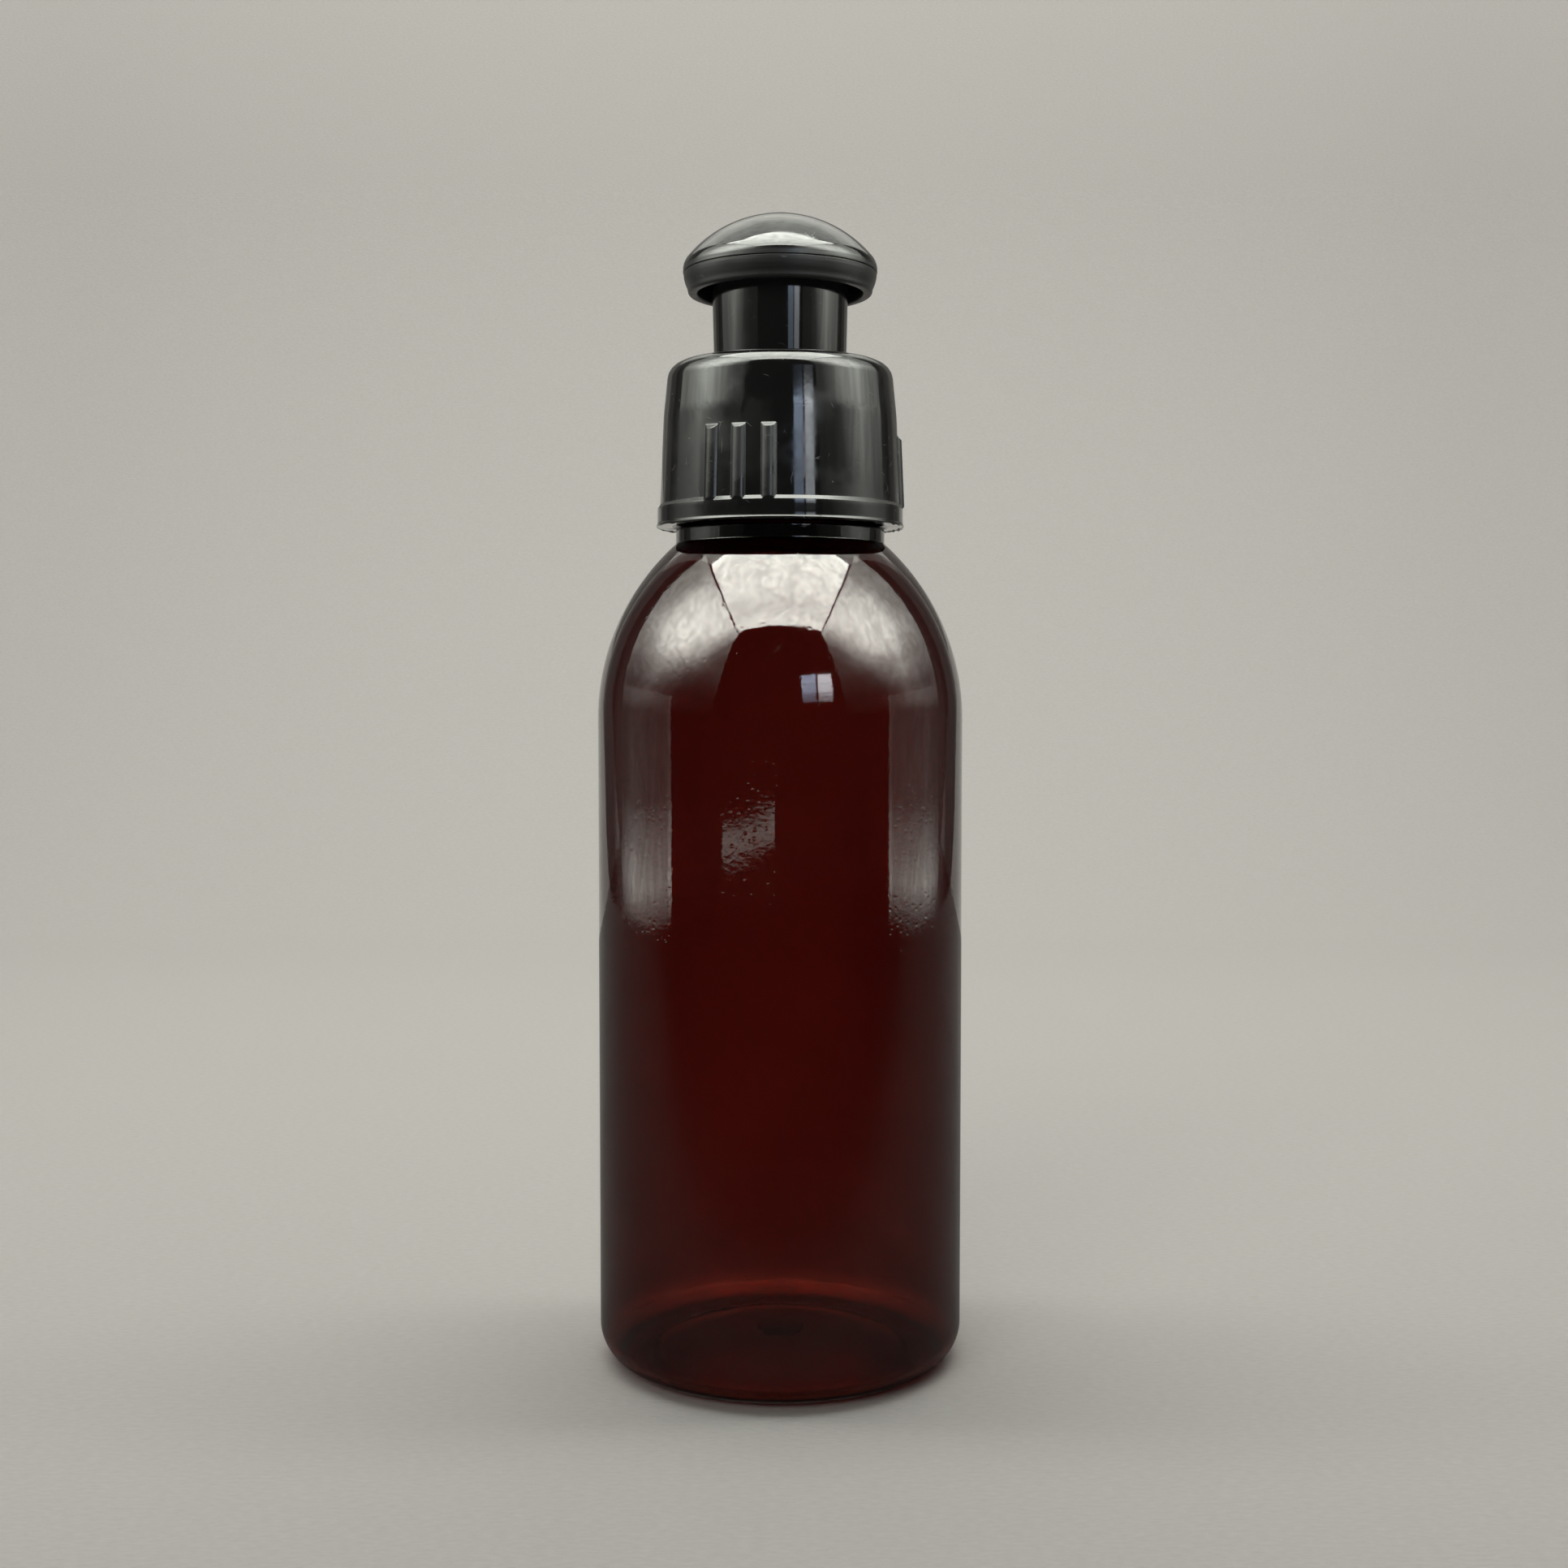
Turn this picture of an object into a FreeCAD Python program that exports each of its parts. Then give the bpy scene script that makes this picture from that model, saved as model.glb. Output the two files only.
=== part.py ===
import FreeCAD, Part
import math
import os

# Oil bottle with a screw closure and a pull-up head. Millimetres, +Z up, base on Z = 0, front towards -Y.

# Bottle body
BODY_DIAMETER = 42.0
STRAIGHT_HEIGHT = 74.2
SHOULDER_RADIUS = 26.8
BASE_CORNER_RADIUS = 4.3
BASE_RING_WIDTH = 2.0
PUSH_UP_HEIGHT = 2.6
GATE_DIAMETER = 5.0
GATE_HEIGHT = 0.5
BOTTLE_WALL = 0.8

# Neck finish of 24 mm size, with a thread of eight turns an inch
NECK_RING_WIDTH = 1.2
NECK_RING_HEIGHT = 1.7
NECK_RING_ROUND = 0.25
NECK_ROOT_DIAMETER = 21.6
NECK_WALL = 1.8
FINISH_HEIGHT = 16.6
LAND_ROUND = 0.4
THREAD_DEPTH = 1.05
THREAD_PITCH = 25.4 / 8
THREAD_TURNS = 1.5
THREAD_DROP = 1.4
THREAD_BASE_WIDTH = 1.5
THREAD_CREST_WIDTH = 0.7

# Screw closure, outside
CLOSURE_HEIGHT = 18.6
FLANGE_PROUD = 0.4
FLANGE_HEIGHT = 2.1
FLANGE_DRAFT = 0.12
LEDGE_RISE = 0.3
SKIRT_WALL = 1.75
SKIRT_BREAK_HEIGHT = 12.5
SKIRT_TAPER = 0.45
SKIRT_TOP_TAPER = 0.6
TOP_EDGE_RADIUS = 1.9
RIB_GROUPS = 3
RIBS_IN_GROUP = 3
RIB_STEP_DEGREES = 14.2
RIB_GROUP_DEGREES = -19.4
RIB_WIDTH = 1.66
RIB_PROUD = 0.45
RIB_TOP_HEIGHT = 10.4

# Screw closure, inside
CLOSURE_THREAD_BASE_WIDTH = 1.3
CLOSURE_THREAD_CREST_WIDTH = 0.6
CLOSURE_THREAD_DEPTH = 1.0
TOP_PLATE = 1.3
WELL_WALL = 1.0
SPOUT_WALL = 1.1
SPOUT_PLATE = 1.2
WINDOW_RIBS = 3
WINDOW_RIB_WIDTH = 1.4
WINDOW_MARGIN = 0.25
STOPPER_WALL = 1.0
BEAD_HEIGHT = 0.9
BEAD_PROUD = 0.25
SKIRT_LEAD_IN = 0.4
WELL_LEAD_IN = 0.5
GROOVE_WIDTH = 0.7

# Pull-up head and stem
HEAD_DIAMETER = 22.2
HEAD_SIDE = 0.4
HEAD_EDGE_RADIUS = 2.0
CROWN_RADIUS = 13.9
HEAD_WALL = 1.4
BAND_HEIGHT = 2.35
BAND_TAPER = 0.55
BAND_BULGE = 0.12
BAND_ROUND = 0.35
PARTING_STEP = 0.06
RIM_WALL = 1.6
STEM_EXPOSED = 7.9
STEM_DRAFT_DEGREES = 1.3
SLEEVE_WALL = 1.45
SLEEVE_DEPTH = 3.2
LIP_HEIGHT = 0.8
PULL_TRAVEL = 4.5
ORIFICE_DIAMETER = 4.6
ORIFICE_RIM_DIAMETER = 5.7
ORIFICE_DISH = 0.45

# Sealing washer
LINER_THICKNESS = 0.8

# Clearances and small edge breaks
CLOSURE_GAP = 0.2
THREAD_CLEARANCE = 0.2
PLUG_CLEARANCE = 0.05
STEM_CLEARANCE = 0.2
SLIDE_CLEARANCE = 0.08
BEAD_CLEARANCE = 0.1
STOP_CLEARANCE = 0.05
FLOOR_CLEARANCE = 0.4
SPOUT_CLEARANCE = 3.0
LINER_CLEARANCE = 0.15
EDGE_BREAK = 0.3
THREAD_ROOT_BITE = 0.3
SAME_POINT = 1e-7

# Radii that the pieces share
body_r = BODY_DIAMETER / 2
root_r = NECK_ROOT_DIAMETER / 2
ring_r = root_r + NECK_RING_WIDTH
bore_r = root_r - NECK_WALL
thread_r = root_r + THREAD_DEPTH
skirt_bore_r = thread_r + THREAD_CLEARANCE
skirt_r = skirt_bore_r + SKIRT_WALL
skirt_break_r = skirt_r - SKIRT_TAPER
skirt_top_r = skirt_break_r - SKIRT_TOP_TAPER
flange_r = skirt_r + FLANGE_PROUD
well_outer_r = bore_r - PLUG_CLEARANCE
well_r = well_outer_r - WELL_WALL
stem_r = well_r - STEM_CLEARANCE
sleeve_bore_r = stem_r - SLEEVE_WALL
bead_r = sleeve_bore_r - BEAD_CLEARANCE
spout_r = bead_r - BEAD_PROUD
lip_r = spout_r + SLIDE_CLEARANCE
spout_bore_r = spout_r - SPOUT_WALL
orifice_r = ORIFICE_DIAMETER / 2
stopper_r = orifice_r - PLUG_CLEARANCE
head_r = HEAD_DIAMETER / 2

# Heights that the pieces share, from the base upwards
shoulder_axis_r = body_r - SHOULDER_RADIUS
neck_base_z = STRAIGHT_HEIGHT + math.sqrt(SHOULDER_RADIUS**2 - (ring_r - shoulder_axis_r)**2)
ring_top_z = neck_base_z + NECK_RING_HEIGHT
land_z = neck_base_z + FINISH_HEIGHT
seat_z = land_z + LINER_THICKNESS
thread_top_z = land_z - THREAD_DROP - THREAD_BASE_WIDTH / 2
closure_z = ring_top_z + CLOSURE_GAP
closure_top_z = closure_z + CLOSURE_HEIGHT
sleeve_z = closure_top_z - SLEEVE_DEPTH
well_floor_z = sleeve_z - PULL_TRAVEL - FLOOR_CLEARANCE
rim_z = closure_top_z + STEM_EXPOSED
seam_z = rim_z + BAND_HEIGHT
edge_z = seam_z + HEAD_SIDE
edge_axis_r = head_r - HEAD_EDGE_RADIUS
crown_z = edge_z - math.sqrt((CROWN_RADIUS - HEAD_EDGE_RADIUS)**2 - edge_axis_r**2)
ceiling_radius = CROWN_RADIUS - HEAD_WALL


def at(radius, height):
    """A point of a turned profile."""
    return FreeCAD.Vector(radius, 0, height)


def on_circle(centre, radius, angle):
    """The point of a circle in the profile's plane, with the angle counted up from the radial direction."""
    return centre + at(radius * math.cos(angle), radius * math.sin(angle))


def swing(centre, start, end):
    """The step that goes from one point to another along the shorter arc round a centre."""
    radius = (end - centre).Length
    middle = (start + end) * 0.5 - centre
    return (centre + middle.normalize() * radius, end)


def rounded(before, corner, after, radius):
    """The steps that turn a straight corner with a tangent arc."""
    back = (before - corner).normalize()
    ahead = (after - corner).normalize()
    half = back.getAngle(ahead) / 2
    inward = (back + ahead).normalize()
    centre = corner + inward * (radius / math.sin(half))
    reach = radius / math.tan(half)
    return [corner + back * reach, (centre - inward * radius, corner + ahead * reach)]


def outline(start, steps):
    """A closed face. Each step is a point for a straight run, or a middle and an end for an arc."""
    edges = []
    here = start
    for step in steps + [start]:
        if isinstance(step, tuple):
            edges.append(Part.Arc(here, step[0], step[1]).toShape())
            here = step[1]
        elif (step - here).Length > SAME_POINT:
            edges.append(Part.LineSegment(here, step).toShape())
            here = step
    return Part.Face(Part.Wire(edges))


def turned(start, steps):
    """The solid made by turning a closed profile once round the bottle's axis."""
    return outline(start, steps).revolve(FreeCAD.Vector(0, 0, 0), FreeCAD.Vector(0, 0, 1), 360)


def thread_ridge(wall_r, crest_r, base_width, crest_width, top_z):
    """A helical ridge, with its root sunk a little into the wall that carries it."""
    length = THREAD_TURNS * THREAD_PITCH
    outward = 1 if crest_r > wall_r else -1
    sunk_r = wall_r - outward * THREAD_ROOT_BITE
    flank = (base_width - crest_width) / 2 / abs(crest_r - wall_r)
    half_sunk = base_width / 2 + flank * THREAD_ROOT_BITE
    low = top_z - length
    corners = [
        at(sunk_r, low - half_sunk),
        at(crest_r, low - crest_width / 2),
        at(crest_r, low + crest_width / 2),
        at(sunk_r, low + half_sunk),
    ]
    profile = Part.makePolygon(corners + corners[:1])
    helix = Part.makeHelix(THREAD_PITCH, length, wall_r)
    helix.translate(FreeCAD.Vector(0, 0, low))
    return Part.Wire(helix.Edges).makePipeShell([profile], True, True)


def make_bottle():
    """The blow-moulded shell: pushed-up base, straight body, round shoulder, neck ring and thread."""
    ring_outer_r = body_r - BASE_CORNER_RADIUS
    ring_inner_r = ring_outer_r - BASE_RING_WIDTH
    push_up_radius = (ring_inner_r**2 + PUSH_UP_HEIGHT**2) / (2 * PUSH_UP_HEIGHT)
    push_up_centre = at(0, PUSH_UP_HEIGHT - push_up_radius)
    gate_r = GATE_DIAMETER / 2
    gate_z = push_up_centre.z + math.sqrt(push_up_radius**2 - gate_r**2)
    corner_centre = at(ring_outer_r, BASE_CORNER_RADIUS)
    shoulder_centre = at(shoulder_axis_r, STRAIGHT_HEIGHT)

    inner_r = body_r - BOTTLE_WALL
    inner_shoulder = SHOULDER_RADIUS - BOTTLE_WALL
    throat_z = STRAIGHT_HEIGHT + math.sqrt(inner_shoulder**2 - (bore_r - shoulder_axis_r)**2)
    floor_radius = push_up_radius + BOTTLE_WALL
    floor_r = math.sqrt(floor_radius**2 - (BOTTLE_WALL - push_up_centre.z)**2)

    ring_edge = at(ring_r, ring_top_z)
    land_edge = at(root_r, land_z)
    steps = [
        at(gate_r, gate_z - GATE_HEIGHT),
        at(gate_r, gate_z),
        swing(push_up_centre, at(gate_r, gate_z), at(ring_inner_r, 0)),
        at(ring_outer_r, 0),
        swing(corner_centre, at(ring_outer_r, 0), at(body_r, BASE_CORNER_RADIUS)),
        at(body_r, STRAIGHT_HEIGHT),
        swing(shoulder_centre, at(body_r, STRAIGHT_HEIGHT), at(ring_r, neck_base_z)),
        *rounded(at(ring_r, neck_base_z), ring_edge, at(root_r, ring_top_z), NECK_RING_ROUND),
        at(root_r, ring_top_z),
        *rounded(at(root_r, ring_top_z), land_edge, at(bore_r, land_z), LAND_ROUND),
        at(bore_r, land_z),
        at(bore_r, throat_z),
        swing(shoulder_centre, at(bore_r, throat_z), at(inner_r, STRAIGHT_HEIGHT)),
        at(inner_r, BASE_CORNER_RADIUS),
        swing(corner_centre, at(inner_r, BASE_CORNER_RADIUS), at(ring_outer_r, BOTTLE_WALL)),
        at(floor_r, BOTTLE_WALL),
        swing(push_up_centre, at(floor_r, BOTTLE_WALL), at(0, PUSH_UP_HEIGHT + BOTTLE_WALL)),
    ]
    shell = turned(at(0, gate_z - GATE_HEIGHT), steps)
    ridge = thread_ridge(root_r, thread_r, THREAD_BASE_WIDTH, THREAD_CREST_WIDTH, thread_top_z)
    return shell.fuse(ridge).removeSplitter()


def make_grip_ribs():
    """Three groups of three upright ribs, each a bar of round section that leans with the skirt."""
    foot_z = closure_z + FLANGE_HEIGHT / 2
    top_z = closure_z + RIB_TOP_HEIGHT
    ledge_z = closure_z + FLANGE_HEIGHT + LEDGE_RISE
    lean = SKIRT_TAPER / (closure_z + SKIRT_BREAK_HEIGHT - ledge_z)
    bar_r = (RIB_WIDTH**2 / 4 + RIB_PROUD**2) / (2 * RIB_PROUD)
    wall_foot_r = skirt_r + lean * (ledge_z - foot_z)
    wall_top_r = skirt_r - lean * (top_z - ledge_z)
    core_r = wall_top_r - bar_r
    envelope = turned(
        at(core_r, foot_z),
        [
            at(wall_foot_r + RIB_PROUD, foot_z),
            at(wall_top_r + RIB_PROUD, top_z - RIB_PROUD),
            at(wall_top_r, top_z),
            at(core_r, top_z),
        ],
    )
    run = at(wall_top_r - wall_foot_r, top_z - foot_z)
    start = at(wall_foot_r + RIB_PROUD - bar_r, foot_z)
    bar = Part.makeCylinder(bar_r, run.Length, start, run).common(envelope)
    ribs = []
    for group in range(RIB_GROUPS):
        for place in range(RIBS_IN_GROUP):
            offset = (place - (RIBS_IN_GROUP - 1) / 2) * RIB_STEP_DEGREES
            degrees = RIB_GROUP_DEGREES + group * 360 / RIB_GROUPS + offset
            rib = bar.copy()
            rib.rotate(FreeCAD.Vector(0, 0, 0), FreeCAD.Vector(0, 0, 1), degrees - 90)
            ribs.append(rib)
    return ribs


def make_spout_windows(bottom_z, inner_r, outer_r):
    """The openings round the stopper's foot, with ribs left between them."""
    lift = FreeCAD.Vector(0, 0, bottom_z)
    ring = Part.makeCylinder(outer_r, SPOUT_PLATE, lift)
    ring = ring.cut(Part.makeCylinder(inner_r, SPOUT_PLATE, lift))
    for number in range(WINDOW_RIBS):
        corner = FreeCAD.Vector(0, -WINDOW_RIB_WIDTH / 2, bottom_z)
        spoke = Part.makeBox(outer_r * 2, WINDOW_RIB_WIDTH, SPOUT_PLATE, corner)
        spoke.rotate(FreeCAD.Vector(0, 0, 0), FreeCAD.Vector(0, 0, 1), number * 360 / WINDOW_RIBS)
        ring = ring.cut(spoke)
    return ring


def make_closure_base():
    """The screw cap, with the well for the stem, the spout tube and the stopper pin in one moulding."""
    ledge_z = closure_z + FLANGE_HEIGHT
    break_point = at(skirt_break_r, closure_z + SKIRT_BREAK_HEIGHT)
    top_corner = at(skirt_top_r, closure_top_z)

    ceiling_z = crown_z + math.sqrt(ceiling_radius**2 - sleeve_bore_r**2)
    spout_top_z = ceiling_z - PULL_TRAVEL - SPOUT_CLEARANCE
    spout_plate_z = spout_top_z - SPOUT_PLATE
    rim_of_orifice_z = crown_z + math.sqrt(CROWN_RADIUS**2 - (ORIFICE_RIM_DIAMETER / 2)**2)
    stopper_top_z = rim_of_orifice_z - ORIFICE_DISH - PULL_TRAVEL
    stopper_foot_r = stopper_r + EDGE_BREAK
    stopper_core_r = stopper_r - STOPPER_WALL
    bead_z = sleeve_z + LIP_HEIGHT + STOP_CLEARANCE
    well_bottom_z = well_floor_z - SPOUT_PLATE
    groove_inner_r = root_r + EDGE_BREAK
    groove_outer_r = groove_inner_r + GROOVE_WIDTH
    groove_z = closure_top_z - TOP_PLATE

    steps = [
        at(flange_r, closure_z),
        at(flange_r - FLANGE_DRAFT, ledge_z),
        at(skirt_r, ledge_z + LEDGE_RISE),
        break_point,
        *rounded(break_point, top_corner, at(well_r, closure_top_z), TOP_EDGE_RADIUS),
        at(well_r + EDGE_BREAK, closure_top_z),
        at(well_r, closure_top_z - EDGE_BREAK),
        at(well_r, well_floor_z),
        at(spout_r, well_floor_z),
        at(spout_r, bead_z),
        at(bead_r, bead_z),
        at(bead_r, bead_z + BEAD_HEIGHT - BEAD_PROUD),
        at(spout_r, bead_z + BEAD_HEIGHT),
        at(spout_r, spout_top_z - EDGE_BREAK),
        at(spout_r - EDGE_BREAK, spout_top_z),
        at(stopper_foot_r, spout_top_z),
        at(stopper_r, spout_top_z + EDGE_BREAK),
        at(stopper_r, stopper_top_z - EDGE_BREAK),
        at(stopper_r - EDGE_BREAK, stopper_top_z),
        at(0, stopper_top_z),
        at(0, stopper_top_z - STOPPER_WALL),
        at(stopper_core_r, stopper_top_z - STOPPER_WALL),
        at(stopper_core_r, spout_plate_z),
        at(spout_bore_r, spout_plate_z),
        at(spout_bore_r, well_bottom_z),
        at(well_outer_r - WELL_LEAD_IN, well_bottom_z),
        at(well_outer_r, well_bottom_z + WELL_LEAD_IN),
        at(well_outer_r, seat_z),
        at(groove_inner_r, seat_z),
        at(groove_inner_r, groove_z),
        at(groove_outer_r, groove_z),
        at(groove_outer_r, seat_z),
        at(skirt_bore_r, seat_z - (skirt_bore_r - groove_outer_r)),
        at(skirt_bore_r, closure_z + SKIRT_LEAD_IN),
    ]
    shell = turned(at(skirt_bore_r + SKIRT_LEAD_IN, closure_z), steps)
    windows_outer_r = spout_bore_r - WINDOW_MARGIN
    windows = make_spout_windows(spout_plate_z, stopper_foot_r + WINDOW_MARGIN, windows_outer_r)
    crest_r = skirt_bore_r - CLOSURE_THREAD_DEPTH
    thread_offset = (THREAD_BASE_WIDTH + CLOSURE_THREAD_BASE_WIDTH) / 2
    ridge = thread_ridge(
        skirt_bore_r,
        crest_r,
        CLOSURE_THREAD_BASE_WIDTH,
        CLOSURE_THREAD_CREST_WIDTH,
        thread_top_z - thread_offset,
    )
    return shell.cut(windows).fuse([ridge] + make_grip_ribs()).removeSplitter()


def make_pull_top():
    """The mushroom head on its hollow stem, pulled up as far as it goes."""
    crown_centre = at(0, crown_z)
    edge_centre = at(edge_axis_r, edge_z)
    rim_outer_r = head_r - PARTING_STEP - BAND_TAPER
    rim_inner_r = head_r - RIM_WALL
    orifice_rim_r = ORIFICE_RIM_DIAMETER / 2
    orifice_rim = at(orifice_rim_r, crown_z + math.sqrt(CROWN_RADIUS**2 - orifice_rim_r**2))
    tangent = on_circle(crown_centre, CROWN_RADIUS, math.atan2(edge_z - crown_z, edge_axis_r))

    def ceiling(radius):
        """The point of the head's inner dome at a radius."""
        return at(radius, crown_z + math.sqrt(ceiling_radius**2 - radius**2))

    stem_low_r = stem_r - math.tan(math.radians(STEM_DRAFT_DEGREES)) * (rim_z - sleeve_z)
    lip_top_z = sleeve_z + LIP_HEIGHT
    band_top = at(head_r - PARTING_STEP, seam_z)
    band_low = at(rim_outer_r, rim_z + BAND_ROUND)
    band_middle = (band_top + band_low) * 0.5 + at(BAND_BULGE, 0)
    band_foot = at(rim_outer_r - BAND_ROUND, rim_z)
    band_foot_centre = at(rim_outer_r - BAND_ROUND, rim_z + BAND_ROUND)
    steps = [
        at(orifice_r, orifice_rim.z - ORIFICE_DISH),
        ceiling(orifice_r),
        swing(crown_centre, ceiling(orifice_r), ceiling(sleeve_bore_r)),
        at(sleeve_bore_r, lip_top_z + sleeve_bore_r - bead_r),
        at(bead_r, lip_top_z),
        at(lip_r, lip_top_z),
        at(lip_r, sleeve_z),
        at(stem_low_r - EDGE_BREAK, sleeve_z),
        at(stem_low_r, sleeve_z + EDGE_BREAK),
        at(stem_r, rim_z),
        ceiling(stem_r),
        swing(crown_centre, ceiling(stem_r), ceiling(rim_inner_r)),
        at(rim_inner_r, rim_z),
        band_foot,
        swing(band_foot_centre, band_foot, band_low),
        (band_middle, band_top),
        at(head_r, seam_z),
        at(head_r, edge_z),
        swing(edge_centre, at(head_r, edge_z), tangent),
        swing(crown_centre, tangent, orifice_rim),
    ]
    return turned(orifice_rim, steps)


def make_sealing_liner():
    """The washer that the closure presses on the neck's land."""
    steps = [
        at(root_r, land_z),
        at(root_r, seat_z),
        at(well_outer_r + LINER_CLEARANCE, seat_z),
    ]
    return turned(at(well_outer_r + LINER_CLEARANCE, land_z), steps)


PIECES = {
    "bottle": make_bottle,
    "sealing_liner": make_sealing_liner,
    "closure_base": make_closure_base,
    "pull_top": make_pull_top,
}

os.makedirs("parts", exist_ok=True)
for node, make in PIECES.items():
    piece = make()
    piece.exportStep(f"parts/{node}.step")
    box = piece.optimalBoundingBox()
    print(
        f"{node}: {len(piece.Solids)} solid, valid {piece.isValid()}, volume {piece.Volume:.1f} mm3,"
        f" z {box.ZMin:.2f} to {box.ZMax:.2f}, across {box.XLength:.2f}"
    )
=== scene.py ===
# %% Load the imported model
import math

import bpy
import numpy as np
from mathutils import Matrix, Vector


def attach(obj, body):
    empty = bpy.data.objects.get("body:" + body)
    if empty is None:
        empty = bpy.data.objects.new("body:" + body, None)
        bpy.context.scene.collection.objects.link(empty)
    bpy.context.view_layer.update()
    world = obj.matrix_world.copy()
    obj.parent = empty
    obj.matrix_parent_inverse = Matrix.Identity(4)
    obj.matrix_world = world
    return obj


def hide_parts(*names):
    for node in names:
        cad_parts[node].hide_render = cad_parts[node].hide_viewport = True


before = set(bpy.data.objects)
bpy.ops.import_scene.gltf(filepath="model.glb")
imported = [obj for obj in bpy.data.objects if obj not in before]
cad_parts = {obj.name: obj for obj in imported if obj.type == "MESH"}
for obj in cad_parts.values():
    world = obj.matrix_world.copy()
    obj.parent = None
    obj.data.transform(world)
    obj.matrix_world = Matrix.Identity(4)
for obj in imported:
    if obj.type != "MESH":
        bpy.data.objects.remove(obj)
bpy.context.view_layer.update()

# %% [markdown]
# # A pull-top oil bottle
# The object is a dark red-brown bottle with a black screw closure and a mushroom head that slides on a stem.
# All of it was moulded, and nearly all of it is round about one axis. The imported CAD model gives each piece's
# place and size, and this lesson makes the surfaces that are seen. Lengths are written in millimetres, as on
# the maker's drawing, and are turned into Blender's metres only when a mesh is made.

# %% Sizes of the bottle
MM = 0.001
BODY_R = 21.0
STRAIGHT_TOP = 74.2
SHOULDER_R = 26.8
BASE_CORNER = 4.3
BASE_RING = 2.0
PUSH_UP = 2.6
GATE_R = 2.5
GATE_DROP = 0.5
WALL = 0.8
HEEL_WALL = 0.45
NECK_RING_R = 12.0
NECK_RING_HIGH = 1.7
NECK_R = 10.8
BORE_R = 9.0
FINISH_HIGH = 16.6
THREAD_R = 11.85
PITCH = 25.4 / 8
TURNS = 1.5
shoulder_axis = BODY_R - SHOULDER_R
neck_base = STRAIGHT_TOP + math.sqrt(SHOULDER_R**2 - (NECK_RING_R - shoulder_axis) ** 2)
ring_top = neck_base + NECK_RING_HIGH
land = neck_base + FINISH_HIGH
print(f"neck ring from {neck_base:.2f} to {ring_top:.2f}, land at {land:.2f} mm")

# %% [markdown]
# ## Outlines with rounded corners
# A lathe makes a round piece from one outline. In Blender a Spin or Screw modifier could do the same, but the
# thread and the grip ribs need the radius to change with the angle. So each piece is a grid: rows follow the
# outline, columns go round the axis, and the radius of every grid point comes from whole arrays.
# Real moulded corners are never sharp. The helper below replaces each corner with a small arc and puts one
# more row on each side of it, which keeps the shading of the flat parts flat. A corner is written as its
# radius, its height and its round, all in millimetres.

# %% Arcs, straight runs and soft corners
def arc(centre, radius, start, end, count):
    """Points centre + radius * (cos a, sin a), with a going evenly from start to end degrees."""
    a = np.radians(np.linspace(start, end, count))
    return np.column_stack([centre[0] + radius * np.cos(a), centre[1] + radius * np.sin(a)])


def run(start, end, count):
    """Points spaced evenly on a straight line."""
    return np.linspace(start, end, count)


def plain(points):
    """Outline points that keep their place, so their rounding is nought."""
    points = np.atleast_2d(points)
    return np.column_stack([points, np.zeros(len(points))])


def unit(v):
    """Vectors divided by their lengths."""
    return v / np.maximum(np.linalg.norm(v, axis=-1, keepdims=True), 1e-12)


MARGIN_SHARE, MARGIN = 0.5, 0.3


def softened(corners, closed=False, steps=6):
    """An outline whose corners (r, z, round) are turned by tangent arcs.

    With h half the angle between the two sides, the arc's centre lies round / sin h from the corner along the
    bisector, and the arc leaves the sides round / tan h from the corner. A corner with no round stays a point.
    """
    table = np.vstack([np.atleast_2d(c) for c in corners]).astype(float)
    p, r = table[:, :2], table[:, 2:]
    before, after = np.roll(p, 1, axis=0), np.roll(p, -1, axis=0)
    if not closed:
        before[0], after[-1] = 2 * p[0] - p[1], 2 * p[-1] - p[-2]
    back, ahead = unit(before - p), unit(after - p)
    half = np.arccos(np.clip((back * ahead).sum(1, keepdims=True), -1, 1)) / 2
    half = np.maximum(half, 1e-6)
    reach = r / np.tan(half)
    first, last = p + back * reach, p + ahead * reach
    centre = p + unit(back + ahead) * r / np.sin(half)
    sweep = np.maximum(np.pi - 2 * half, 1e-9)[:, None]
    t = np.linspace(0, 1, steps)[None, :, None]
    bend = np.sin((1 - t) * sweep) * (first - centre)[:, None] + np.sin(t * sweep) * (last - centre)[:, None]
    bend = centre[:, None] + bend / np.sin(sweep)
    edge = np.minimum(MARGIN_SHARE * r, MARGIN)
    points = np.concatenate([(first + back * edge)[:, None], bend, (last + ahead * edge)[:, None]], axis=1)
    keep = np.repeat(r > 0, steps + 2, axis=1)
    points = np.where(keep[..., None], points, p[:, None])
    keep[:, 0] = True
    return points[keep]


# %% Grids turned into meshes
def grid_quads(rows, columns, closed):
    """Quads (i, j), (i, j + 1), (i + 1, j + 1), (i + 1, j). Columns wrap round, and rows do if closed."""
    i = np.arange(rows if closed else rows - 1)[:, None]
    j = np.arange(columns)[None, :]
    low, high, right = i * columns, (i + 1) % rows * columns, (j + 1) % columns
    return np.stack(np.broadcast_arrays(low + j, low + right, high + right, high + j), axis=-1)


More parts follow.
